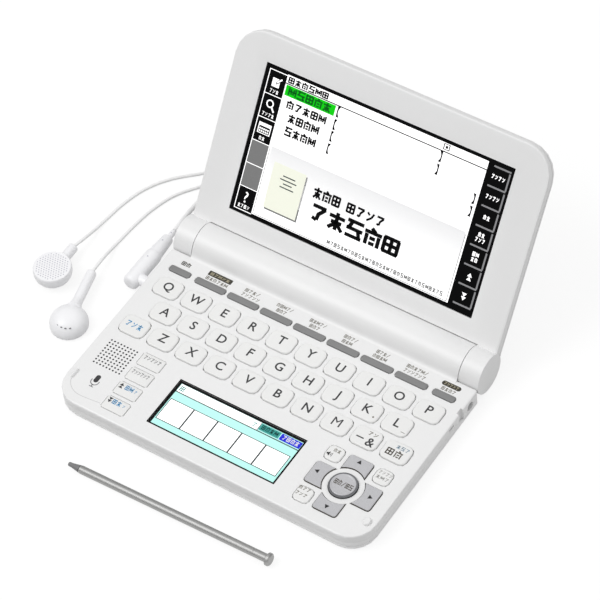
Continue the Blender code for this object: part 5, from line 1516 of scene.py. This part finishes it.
@dataclass
class SideKeys:
    """Four flat keys at the left, with printed marks."""

    x: float = -46.8
    top_y: float = -20.4
    pitch: float = 8.3
    width: float = 10.7
    depth: float = 6.3
    corner: float = 0.6
    rise: float = 0.3
    deck: float = 9.3
    low: float = 7.2
    count: int = 4

    def build(self, maker: MarkMaker) -> list[Object]:
        """Models the keys and their marks.

        Args:
            maker: Writes generic marks.

        Returns:
            The pieces.
        """
        top = self.deck + self.rise
        ys = [self.top_y - i * self.pitch for i in range(self.count)]
        caps = []
        for y in ys:
            cap = plate("cap", (self.width * MM, self.depth * MM), self.corner * MM,
                        ((0.0, self.low * MM), (0.0, (top - 0.2) * MM), (0.05 * MM, (top - 0.06) * MM),
                         (0.16 * MM, top * MM)), 4)
            caps.append(moved(cap, Matrix.Translation((self.x * MM, y * MM, 0.0))))
        low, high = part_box("side_key_strip")
        web = block("web", (low.x + 0.8 * MM, ys[-1] * MM, self.low * MM),
                    (high.x - 0.8 * MM, ys[0] * MM, 7.75 * MM),
                    0.1 * MM)
        strip = smooth(joined("side_key_caps", [*caps, web]), 50.0)
        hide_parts("side_key_strip")
        finished(strip, KEY_PLASTIC, "side_key_strip_body")
        grey = maker.line(-51.0, -42.7, -19.3, 2.0, top, "KAKAK", 0.12)
        grey += maker.line(-51.2, -42.8, -27.5, 2.0, top, "KAAKAK", 0.12)
        blue = maker.line(-48.7, -44.6, -35.8, 2.4, top, "FC", 0.1)
        blue += maker.line(-49.2, -44.7, -44.0, 2.4, top, "FT", 0.1)
        small = maker.line(-44.1, -42.9, -36.0, 1.4, top, "K") + maker.line(-44.1, -42.9, -44.2, 1.4, top,
                                                                            "A")
        blue += small
        arrows = []
        for x, y, sign in ((-50.5, -36.0, 1), (-50.4, -44.0, -1)):
            for shift in (-0.65, 0.65):
                corners = ((-0.95 * MM, -0.55 * sign * MM), (0.95 * MM, -0.55 * sign * MM),
                           (0.0, 0.75 * sign * MM))
                arrow = prism("arrow", corners if sign > 0 else corners[::-1], INK_THICKNESS * MM)
                arrows.append(moved(arrow, Matrix.Translation(Vector((x, y + shift, top)) * MM)))
        body = "side_key_strip_body"
        return [strip, finished(joined("side_key_script", grey), GREY_INK, body),
                finished(joined("side_key_volume_marks", blue), BLUE_INK, body),
                finished(joined("side_key_arrows", arrows), DARK_INK, body)]


@dataclass
class ArrowPad:
    """The round enter key in a dark rim and the four silver arrow keys."""

    enter_radius: float = 5.9
    flange: float = 0.65
    flange_thickness: float = 0.6
    deck: float = 9.3
    enter_rise: float = 1.2
    arrow_rise: float = 0.6

    def build(self, maker: MarkMaker) -> list[Object]:
        """Models the pad.

        Args:
            maker: Writes generic marks.

        Returns:
            The pieces.
        """
        low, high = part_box("enter_key")
        middle = Vector(((low.x + high.x) / 2, (low.y + high.y) / 2, 0.0))
        place = Matrix.Translation(middle)
        base, top = low.z, self.deck + self.enter_rise
        flange, radius = self.enter_radius + self.flange, self.enter_radius
        under = base / MM
        cap = turned("enter_cap", [(r * MM, h * MM) for r, h in (
            (flange, under), (flange, under + self.flange_thickness), (radius - 0.7, under + 0.62),
            (radius - 0.7, top - 0.4), (radius - 0.75, top - 0.15), (radius - 0.9, top - 0.03),
            (radius - 1.05, top),
            (radius - 1.2, top - 0.03), (radius - 1.4, top - 0.14), (radius - 1.6, top - 0.2),
            (1.0, top - 0.22))], 72)
        moved(cap, place)
        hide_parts("enter_key")
        finished(cap, SILVER_PAINT, "enter_key_body")
        rim = ring("enter_rim", radius * MM, (radius - 0.7) * MM, (under + 0.65) * MM, (top - 0.35) * MM, 72)
        moved(rim, place)
        finished(rim, DARK_CHROME, "enter_key_body")
        sign = joined("enter_marks", maker.line(48.9, 57.4, -32.2, 2.5, top - 0.21, "FG/FS", 0.06))
        finished(sign, BROWN_INK_AND_SIDE_SHADE, "enter_key_body")
        arrows = shell_copy("arrow_keys", "arrow_caps", SILVER_PAINT, "arrow_keys_body")
        # Painted shade: the side faces of the arrow caps take the dark brown-grey ink, which stands for the
        # shade along their edges.
        arrows.data.materials.append(BROWN_INK_AND_SIDE_SHADE.make())
        for face in arrows.data.polygons:
            face.material_index = int(abs(face.normal.z) < 0.3)
        signs = []
        for (x, y), angle in (((65.3, -32.0), 0.0), ((52.7, -19.8), 90.0), ((40.3, -31.7), 180.0),
                              ((52.8, -44.2), 270.0)):
            corners = ((-0.85 * MM, -1.0 * MM), (0.95 * MM, 0.0), (-0.85 * MM, 1.0 * MM))
            arrow = prism("arrow", corners, INK_THICKNESS * MM)
            reach = Matrix.Translation(Vector((x, y, self.deck + self.arrow_rise)) * MM)
            signs.append(moved(arrow, reach @ Matrix.Rotation(math.radians(angle), 4, "Z")))
        marks_piece = finished(joined("arrow_signs", signs), BLACK_INK, "arrow_keys_body")
        return [cap, rim, sign, arrows, marks_piece]


# Displays

@dataclass
class Layers:
    """Flat coloured areas on a display, all given in millimetres on its plane."""

    place: Matrix
    body: str
    prefix: str

    def area(self, rectangle: tuple[float, float, float, float], level: int) -> Object:
        """One thin rectangle.

        Args:
            rectangle: x0, y0, x1, y1.
            level: How many layers it lies above the glass.

        Returns:
            The rectangle, not yet placed.
        """
        x0, y0, x1, y1 = rectangle
        base = level * LAYER
        return block("area", (x0 * MM, y0 * MM, base * MM), (x1 * MM, y1 * MM, (base + LAYER) * MM))

    def show(self, name: str, finish: Finish, parts: Sequence[Object]) -> Object:
        """Joins parts, places them on the display and lights them.

        Args:
            name: The piece's name after the display's prefix.
            finish: The lit colour.
            parts: Areas and marks on the display's plane.

        Returns:
            The piece.
        """
        obj = joined(f"{self.prefix}_{name}", parts)
        moved(obj, self.place)
        return finished(obj, finish, self.body)


@dataclass
class MainDisplay:
    """The large display in the lid: glass, page, icon column and button column."""

    width: float = 117.0
    length: float = 65.2
    reach: float = 17.5
    glass_height: float = 2.5
    page: tuple = (-47.9, 2.0, 46.8, 63.7)
    icon_left: float = -56.1
    icon_right: float = -47.9
    icon_levels: tuple = (63.2, 52.9, 42.6, 32.2, 22.0, 11.7, 1.7)
    button_left: float = 48.9
    button_right: float = 57.3
    button_levels: tuple = (62.6, 54.0, 45.4, 36.9, 28.5, 20.0, 11.5, 3.0)

    def plane(self) -> Matrix:
        """From the display's plane, x across and y up from its lower edge, to the world."""
        joint = next(j for j in frame["joints"] if j["name"] == "lid_hinge")
        pivot = Matrix.Translation(joint["pos_m"])
        opened = Matrix.Rotation(math.radians(-joint["range_deg"][1]), 4, "X")
        window = Matrix.Translation(Vector((0.0, -self.reach, self.glass_height)) * MM)
        return pivot @ opened @ window @ Matrix.Rotation(math.pi, 4, "X")

    def build(self, maker: MarkMaker) -> list[Object]:
        """Builds the glass and everything shown on it.

        Args:
            maker: Writes generic marks.

        Returns:
            The pieces.
        """
        glass = shell_copy("main_display", "display_glass", BLACK_GLASS, "lid", 10.0)
        layers = Layers(self.plane(), "lid", "page")
        bold = MarkMaker(0.21)
        x0, y0, x1, y1 = self.page
        pieces = [glass, layers.show("ground", WHITE_LIT, [layers.area(self.page, 0)])]
        span = tuple((layers.place @ Vector((0.0, y * MM, 0.0))).z for y in (12.0, 32.8))
        fade = FadeLit("lit_banner_grey", "#E0E0E1", 0.25, specular=0.15, grain_depth_mm=0.0, glow=0.3,
                       span=span)
        pieces.append(layers.show("banner", fade, [layers.area((x0 + 1.2, 12.0, x1 - 1.0, 32.8), 1)]))
        pieces.append(layers.show("green_bar", GREEN_LIT, [layers.area((-47.3, 55.1, -23.5, 59.6), 1)]))
        black = bold.row((-47.2, 60.5, LAYER), (19.6, 2.7), marks("FTGSCF"), 0.06, LAYER)
        black += bold.row((-45.2, 50.2, LAYER), (19.4, 3.5), marks("GKTFC"), 0.08, LAYER)
        black += bold.row((-43.0, 44.9, LAYER), (15.2, 3.7), marks("TFGC"), 0.06, LAYER)
        black += bold.row((-43.0, 39.3, LAYER), (15.2, 3.7), marks("STGC"), 0.06, LAYER)
        black += [layers.area((x0, 59.8, x1, 60.25), 1)]
        black += self.brackets(layers)
        black += bold.row((-23.3, 19.7, 2 * LAYER), (13.4, 4.7), marks("TGF"), 0.05, LAYER)
        black += bold.row((-7.2, 19.7, 2 * LAYER), (18.6, 4.4), marks("FKAK"), 0.1, LAYER)
        black += bold.row((-22.6, 10.4, 2 * LAYER), (43.4, 7.5), marks("KTSGF"), 0.04, LAYER)
        pieces.append(layers.show("dark_marks", BLACK_LIT, black))
        green = bold.row((-45.9, 55.6, 2 * LAYER), (20.8, 3.6), marks("CSFGT"), 0.06, LAYER)
        pieces.append(layers.show("green_marks", DARK_GREEN_LIT, green))
        grey = bold.row((-11.5, 3.6, LAYER), (55.5, 1.9), marks("CKFSTCKGFSTCKFGSTCKFGSCFTKGSCFTKS"), 0.16,
                        LAYER)
        grey += [layers.area((x1 - 0.95, 2.3, x1 - 0.7, 31.8), 1),
                 layers.area((x0 + 1.0, 2.3, x1 - 0.75, 2.55), 1)]
        grey += [layers.area((x0 + 0.5, 2.3, x0 + 0.75, 31.8), 1)]
        pieces.append(layers.show("fine_marks", GREY_LIT, grey))
        pieces += self.book(layers)
        pieces += self.icons(layers, maker)
        pieces += self.buttons(layers, bold)
        bold.clear()
        return pieces

    def brackets(self, layers: Layers) -> list[Object]:
        """Black brackets, flat on one side and hollowed on the other."""
        parts = []
        rows = ((55.2, 59.8), (49.7, 54.3), (44.6, 49.1), (39.2, 43.7))
        for i, (low, high) in enumerate(rows):
            for x, side in ((-22.5, 1), (27.0 if i < 2 else 45.6, -1)):
                middle = (low + high) / 2
                corners = [(0.0, low), (side * 1.3, low), (side * 0.55, middle - 0.8),
                           (side * 0.55, middle + 0.8),
                           (side * 1.3, high), (0.0, high)]
                if side < 0:
                    corners = corners[::-1]
                shape = prism("bracket", [((x + dx) * MM, y * MM) for dx, y in corners], LAYER * MM)
                parts.append(moved(shape, Matrix.Translation((0.0, 0.0, LAYER * MM))))
        for rectangle in ((26.4, 60.8, 26.8, 63.4), (28.9, 60.8, 29.3, 63.4), (26.4, 60.8, 29.3, 61.1),
                          (26.4, 63.1, 29.3, 63.4), (27.4, 61.5, 28.4, 62.6)):
            parts.append(layers.area(rectangle, 1))
        return parts

    def book(self, layers: Layers) -> list[Object]:
        """A plain standing book: cover, shadow at two sides and a few lines."""
        left, low, right, high = -43.6, 7.0, -27.9, 27.2
        shadow = [layers.area((left + 0.6, low - 0.7, right + 0.7, high - 0.8), 1)]
        cover = [layers.area((left, low, right, high), 2)]
        lines = [layers.area((left + 4.4 + inset, y, right - 3.4 - inset, y + 0.5), 3)
                 for inset, y in ((1.0, 22.6), (0.0, 21.0), (1.8, 19.4), (0.6, 17.8))]
        return [layers.show("book_shadow", GREY_LIT, shadow), layers.show("book_cover", CREAM_LIT, cover),
                layers.show("book_lines", LINE_LIT, lines)]

    def icons(self, layers: Layers, maker: MarkMaker) -> list[Object]:
        """The left column of six cells with plain signs."""
        left, right = self.icon_left, self.icon_right
        levels = self.icon_levels
        white = [layers.area((left - 0.35, y - 0.17, right, y + 0.17), 1) for y in levels]
        white.append(layers.area((left - 0.35, levels[-1], left, levels[0]), 1))
        middle = (left + right) / 2
        for cell, pattern in ((0, "KAT"), (1, "KAKT"), (2, "GT"), (5, "TKFA")):
            width = 1.5 * len(pattern)
            white += maker.row((middle - width / 2, levels[cell + 1] + 0.9, LAYER), (width, 1.7),
                               marks(pattern),
                               0.2, LAYER)
        white += self.note_sign(middle, levels[0] - 4.6)
        white += self.lens_sign(middle, levels[1] - 4.4)
        white += self.keys_sign(layers, middle, levels[2] - 4.4)
        query = lettering("query", "?", 4.6 * MM, LAYER * MM, 1.1)
        white.append(moved(query, Matrix.Translation(Vector((middle, levels[5] - 4.2, LAYER)) * MM)))
        grey = [layers.area((left, levels[i + 1] + 0.17, right, levels[i] - 0.17), 1) for i in (3, 4)]
        return [layers.show("icon_signs", WHITE_LIT, white), layers.show("icon_blanks", GREY_LIT, grey)]

    def note_sign(self, x: float, y: float) -> list[Object]:
        """A sheet with a pencil across it."""
        sheet = prism("sheet", [((x + dx) * MM, (y + dy) * MM) for dx, dy in (
            (-2.0, -2.1), (1.5, -2.1), (1.5, 0.4), (0.2, -0.9), (-0.5, -0.2), (1.0, 1.6), (-2.0, 1.6))],
            LAYER * MM)
        pencil = prism("pencil", [((x + dx) * MM, (y + dy) * MM) for dx, dy in (
            (0.2, -0.4), (2.5, 1.7), (2.0, 2.2), (-0.1, 0.1))], LAYER * MM)
        lift = Matrix.Translation((0.0, 0.0, LAYER * MM))
        return [moved(sheet, lift), moved(pencil, lift)]

    def lens_sign(self, x: float, y: float) -> list[Object]:
        """A magnifying glass."""
        rim = ring("lens", 1.75 * MM, 1.2 * MM, 0.0, LAYER * MM, 32)
        moved(rim, Matrix.Translation(Vector((x - 0.4, y + 0.6, LAYER)) * MM))
        handle = block("handle", (-0.35 * MM, -2.3 * MM, 0.0), (0.35 * MM, 0.0, LAYER * MM))
        place = Matrix.Translation(Vector((x + 0.65, y - 0.65, LAYER)) * MM)
        return [rim, moved(handle, place @ Matrix.Rotation(math.radians(38.0), 4, "Z"))]

    def keys_sign(self, layers: Layers, x: float, y: float) -> list[Object]:
        """A small keyboard: a frame with a screen line and two rows of keys."""
        parts = [layers.area((x - 3.0, y + 0.9, x + 3.0, y + 2.3), 1),
                 layers.area((x - 3.0, y - 2.2, x - 2.6, y + 1.0), 1),
                 layers.area((x + 2.6, y - 2.2, x + 3.0, y + 1.0), 1),
                 layers.area((x - 3.0, y - 2.4, x + 3.0, y - 2.1), 1)]
        for row in range(2):
            for column in range(5):
                left, low = x - 2.3 + column * 0.95, y - 1.7 + row * 1.1
                parts.append(layers.area((left, low, left + 0.65, low + 0.7), 1))
        return parts

    def buttons(self, layers: Layers, maker: MarkMaker) -> list[Object]:
        """The right column of seven buttons with bright lower and right edges."""
        left, right = self.button_left, self.button_right
        edges, white = [layers.area((left + 0.6, 62.5, right, 63.2), 0)], []
        captions = ("KAKA", "KAKA", "GT", "GT", "FC", "", "")
        second = ("", "", "", "KAK", "TG", "", "")
        levels = self.button_levels
        middle = (left + right) / 2 - 0.4
        for i, (high, low) in enumerate(zip(levels, levels[1:])):
            edges.append(layers.area((left, low + 0.1, right - 0.2, low + 0.8), 0))
            edges.append(layers.area((right - 0.7, low + 0.8, right, high - 0.5), 0))
            centre = (high + low) / 2 + 0.5
            for pattern, y in ((captions[i], centre if second[i] else centre - 1.0),
                               (second[i], centre - 2.3)):
                if pattern:
                    width = 1.6 * len(pattern)
                    white += maker.row((middle - width / 2, y, LAYER), (width, 1.9), marks(pattern), 0.2,
                                       LAYER)
        for index, sign in ((5, 1), (6, -1)):
            y = (levels[index] + levels[index + 1]) / 2
            for shift in (-1.0, 0.6):
                corners = [(-1.1, -0.7 * sign), (1.1, -0.7 * sign), (0.0, 0.9 * sign)]
                if sign < 0:
                    corners = corners[::-1]
                arrow = prism("arrow", [(dx * MM, dy * MM) for dx, dy in corners], LAYER * MM)
                white.append(moved(arrow, Matrix.Translation(Vector((middle, y + shift + 0.3, LAYER)) * MM)))
        return [layers.show("button_edges", CHROME_LIT, edges), layers.show("button_signs", WHITE_LIT, white)]


@dataclass
class HandwritingDisplay:
    """The small display in the base, for the stylus."""

    glass_z: float = 8.6
    lit: tuple = (-30.5, -44.35, 28.0, -22.4)
    cells: tuple = (-30.1, -41.7, 27.2, -30.5)
    cell_count: int = 5
    window: tuple = (-31.9, -45.4, 29.1, -21.0)
    liner: float = 0.07

    def build(self, maker: MarkMaker) -> list[Object]:
        """Builds the glass and everything shown on it.

        Args:
            maker: Writes generic marks.

        Returns:
            The pieces.
        """
        glass = shell_copy("handwriting_panel", "writing_glass", BLACK_GLASS, "base", 10.0)
        layers = Layers(Matrix.Translation((0.0, 0.0, self.glass_z * MM)), "base", "pad")
        x0, y0, x1, y1 = self.lit
        left, low, right, high = self.cells
        line = 0.36
        white = [layers.area((x0 + 0.2, -26.4, 8.3, y1 - 0.1), 1)]
        pitch = (right - left) / self.cell_count
        for i in range(self.cell_count):
            white.append(layers.area((left + i * pitch + line, low + line, left + (i + 1) * pitch - line,
                                      high - line), 2))
        dark = [layers.area((left, low, right, high), 1), layers.area((x0, -26.85, x1, -26.4), 1),
                layers.area((8.2, -26.4, 8.5, y1 - 0.1), 1)]
        teal = maker.row((-29.9, -25.7, 2 * LAYER), (2.6, 2.4), marks("F"), 0.1, LAYER)
        teal += maker.row((5.2, -25.7, 2 * LAYER), (2.0, 2.2), marks("K"), 0.1, LAYER)
        teal.append(layers.area((8.6, -25.9, 17.9, y1 - 0.3), 1))
        deep = maker.row((9.3, -25.3, 2 * LAYER), (8.0, 2.3), marks("FGTC"), 0.1, LAYER)
        blue = [layers.area((18.3, -25.9, 27.9, y1 - 0.3), 1)]
        pale = maker.row((19.2, -25.3, 2 * LAYER), (7.9, 2.3), marks("KFGT"), 0.1, LAYER)
        x0, y0, x1, y1 = self.window
        thin, foot, rim = self.liner, self.glass_z - 0.05, self.glass_z + 0.62
        sides = [block("side", Vector(a) * MM, Vector(b) * MM) for a, b in (
            ((x0, y0, foot), (x0 + thin, y1, rim)), ((x1 - thin, y0, foot), (x1, y1, rim)),
            ((x0, y0, foot), (x1, y0 + thin, rim)), ((x0, y1 - thin, foot), (x1, y1, rim)))]
        liner = finished(joined("window_liner", sides), BLACK_PLASTIC_AND_SLOT_SHADE, "base")
        return [glass, liner, layers.show("ground", CYAN_LIT, [layers.area(self.lit, 0)]),
                layers.show("white_areas", WHITE_LIT, white), layers.show("dividers", LINE_LIT, dark),
                layers.show("teal_button", TEAL_LIT, teal), layers.show("teal_button_marks", DARK_TEAL_LIT,
                                                                        deep),
                layers.show("blue_button", BLUE_LIT, blue),
                layers.show("blue_button_marks", PALE_LIT, pale)]


@dataclass
class Lid:
    """The lid's two shells."""

    def build(self) -> list[Object]:
        """Dresses the shells, and returns them."""
        return [shell_copy("lid_front_bezel", "lid_bezel_shell", CASE_PLASTIC, "lid"),
                shell_copy("lid_back_cover", "lid_back_shell", CASE_PLASTIC, "lid")]


@dataclass
class Stylus:
    """The steel stylus that lies in front of the case."""

    tip: tuple = (-50.5, -73.9)
    turn: float = 1.05
    length: float = 95.5
    radius: float = 1.75
    head_radius: float = 2.7
    head_length: float = 1.8
    cone: float = 6.3

    def build(self) -> list[Object]:
        """Models the stylus: tube, cone, nib and head, and returns its pieces."""
        neck = self.length - self.head_length
        body = turned("stylus_tube", [(r * MM, h * MM) for r, h in (
            (1.3, 5.6), (1.66, 5.65), (self.radius, self.cone), (self.radius, neck - 6.2), (1.66, neck - 6.1),
            (1.66, neck - 5.8), (self.radius, neck - 5.7), (self.radius, neck))], 40)
        nib = turned("stylus_nib", [(r * MM, h * MM) for r, h in (
            (0.5, 0.0), (0.78, 0.12), (0.9, 0.45), (0.94, 1.8), (1.1, 2.6), (1.4, 4.4), (1.55, 5.1),
            (1.5, 5.3),
            (1.2, 5.4), (1.2, 5.7))], 32)
        head = turned("stylus_head", [(r * MM, h * MM) for r, h in (
            (self.radius, neck - 0.02), (self.head_radius - 0.35, neck), (self.head_radius, neck + 0.3),
            (self.head_radius, self.length - 0.5), (self.head_radius - 0.45, self.length))], 48)
        lean = math.asin((self.head_radius - self.radius) / (neck - self.cone))
        rise = self.radius * math.cos(lean) - self.cone * math.sin(lean) + 0.05
        place = Matrix.Translation(Vector((*self.tip,
                                           rise)) * MM) @ Matrix.Rotation(math.radians(self.turn), 4, "Z") \
            @ Matrix.Rotation(math.radians(90.0) - lean, 4, "Y")
        tube = joined("stylus_steel", [body, head])
        for obj in (tube, nib):
            moved(obj, place)
            smooth(obj)
        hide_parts("stylus")
        return [finished(tube, STEEL, "base"),
                finished(nib, NIB_RESIN, "base")]


# Studio

@dataclass
class Studio:
    """Camera, floor and soft light."""

    camera_mm: tuple = (485.28, -586.05, 990.10)
    right: tuple = (0.83326, 0.54774, -0.07517)
    down: tuple = (0.38798, -0.67617, -0.62631)
    forward: tuple = (-0.39388, 0.49271, -0.77594)
    lens: float = 186.23
    sensor: float = 36.0
    sky_low: float = 0.12
    sky_high: float = 0.83
    floor_white: float = 0.78
    key_power: float = 13.4
    side_power: float = 2.2

    def camera(self) -> None:
        """Sets the camera at the photograph's angle."""
        data = bpy.data.cameras.new("camera")
        data.lens, data.sensor_width = self.lens, self.sensor
        data.clip_start, data.clip_end = 0.01, 20.0
        camera = bpy.data.objects.new("camera", data)
        bpy.context.collection.objects.link(camera)
        axes = Matrix((self.right, -Vector(self.down), -Vector(self.forward))).transposed()
        camera.matrix_world = Matrix.Translation(Vector(self.camera_mm) * MM) @ axes.to_4x4()
        bpy.context.scene.camera = camera

    def floor(self) -> None:
        """A pale floor that keeps the object's shadow and is white to the camera."""
        bpy.ops.object.select_all(action="DESELECT")
        bpy.ops.mesh.primitive_plane_add(size=8.0, location=(0.0, 0.0, -0.02 * MM))
        floor = named("studio_floor")
        material = bpy.data.materials.new("pale_floor")
        material.use_nodes = True
        tree = material.node_tree
        tree.nodes.clear()
        path = add_node(tree, "ShaderNodeLightPath", {})
        seen = add_node(tree, "ShaderNodeMath", {0: path.outputs["Is Camera Ray"],
                                                 1: path.outputs["Is Glossy Ray"]},
                        operation="MAXIMUM").outputs["Value"]
        seen = add_node(tree, "ShaderNodeMath", {0: seen, 1: path.outputs["Is Transmission Ray"]},
                        operation="MAXIMUM").outputs["Value"]
        share = add_node(tree, "ShaderNodeMath", {0: seen, 1: self.floor_white},
                         operation="MULTIPLY").outputs["Value"]
        shade = Finish.mixed(tree, seen, linear("#BCBCBC"), linear("#F8F8F8"))
        paper = add_node(tree, "ShaderNodeBsdfDiffuse", {"Color": shade}).outputs["BSDF"]
        white = add_node(tree, "ShaderNodeEmission", {"Color": (1.0, 1.0, 1.0, 1.0),
                                                      "Strength": 1.05}).outputs["Emission"]
        mix = add_node(tree, "ShaderNodeMixShader", {0: share, 1: paper, 2: white}).outputs["Shader"]
        add_node(tree, "ShaderNodeOutputMaterial", {"Surface": mix})
        floor.data.materials.append(material)

    def lamp(self, name: str, place: Point, size: float, power: float) -> None:
        """A square soft lamp that looks at the object.

        Args:
            name: Its name.
            place: Where it hangs, in metres.
            size: Its side, in metres.
            power: Its power, in watts.
        """
        data = bpy.data.lights.new(name, "AREA")
        data.shape, data.size, data.energy = "SQUARE", size, power
        lamp = bpy.data.objects.new(name, data)
        bpy.context.collection.objects.link(lamp)
        lamp.location = place
        lamp.rotation_euler = (-Vector(place)).to_track_quat("-Z", "Y").to_euler()

    def light(self) -> None:
        """A white sky that is bright above and dim at the horizon, and one soft lamp."""
        world = bpy.data.worlds.new("white_studio")
        bpy.context.scene.world = world
        world.use_nodes = True
        tree = world.node_tree
        tree.nodes.clear()
        path = add_node(tree, "ShaderNodeLightPath", {})
        way = add_node(tree, "ShaderNodeTexCoord", {}).outputs["Generated"]
        rise = add_node(tree, "ShaderNodeSeparateXYZ", {"Vector": way}).outputs["Z"]
        level = add_node(tree, "ShaderNodeMapRange", {"Value": rise, "From Min": 0.0, "From Max": 0.75,
                                                      "To Min": self.sky_low, "To Max": self.sky_high})
        sky = add_node(tree, "ShaderNodeBackground", {
            "Color": (1.0, 1.0, 1.0, 1.0), "Strength": level.outputs["Result"]}).outputs["Background"]
        white = add_node(tree, "ShaderNodeBackground", {"Color": (1.0, 1.0, 1.0, 1.0),
                                                        "Strength": 1.0}).outputs["Background"]
        mix = add_node(tree, "ShaderNodeMixShader", {0: path.outputs["Is Camera Ray"], 1: sky, 2: white})
        add_node(tree, "ShaderNodeOutputWorld", {"Surface": mix.outputs["Shader"]})
        self.lamp("key_lamp", (-0.85, -0.8, 1.62), 1.0, self.key_power)
        self.lamp("side_lamp", (1.4, -0.2, 0.7), 0.8, self.side_power)

    def build(self) -> None:
        """Sets the view transform, floor and lights."""
        bpy.context.scene.view_settings.view_transform = "Standard"
        self.floor()
        self.light()


def main() -> None:
    """Builds every sub-assembly in order and reports each piece."""
    logging.basicConfig(level=logging.INFO, format="%(message)s")
    studio = Studio()
    studio.camera()
    pieces = Earphones().build()
    maker = MarkMaker()
    pieces += Case().build()
    pieces += Keyboard().build(maker)
    pieces += FunctionRow().build(maker)
    pieces += SideKeys().build(maker)
    pieces += ArrowPad().build(maker)
    pieces += HandwritingDisplay().build(maker)
    pieces += Lid().build()
    pieces += MainDisplay().build(maker)
    pieces += Stylus().build()
    maker.clear()
    studio.build()
    for piece in pieces:
        log.info("%s: %d faces", piece.name, len(piece.data.polygons) if piece.type == "MESH" else 0)


if __name__ == "__main__":
    main()
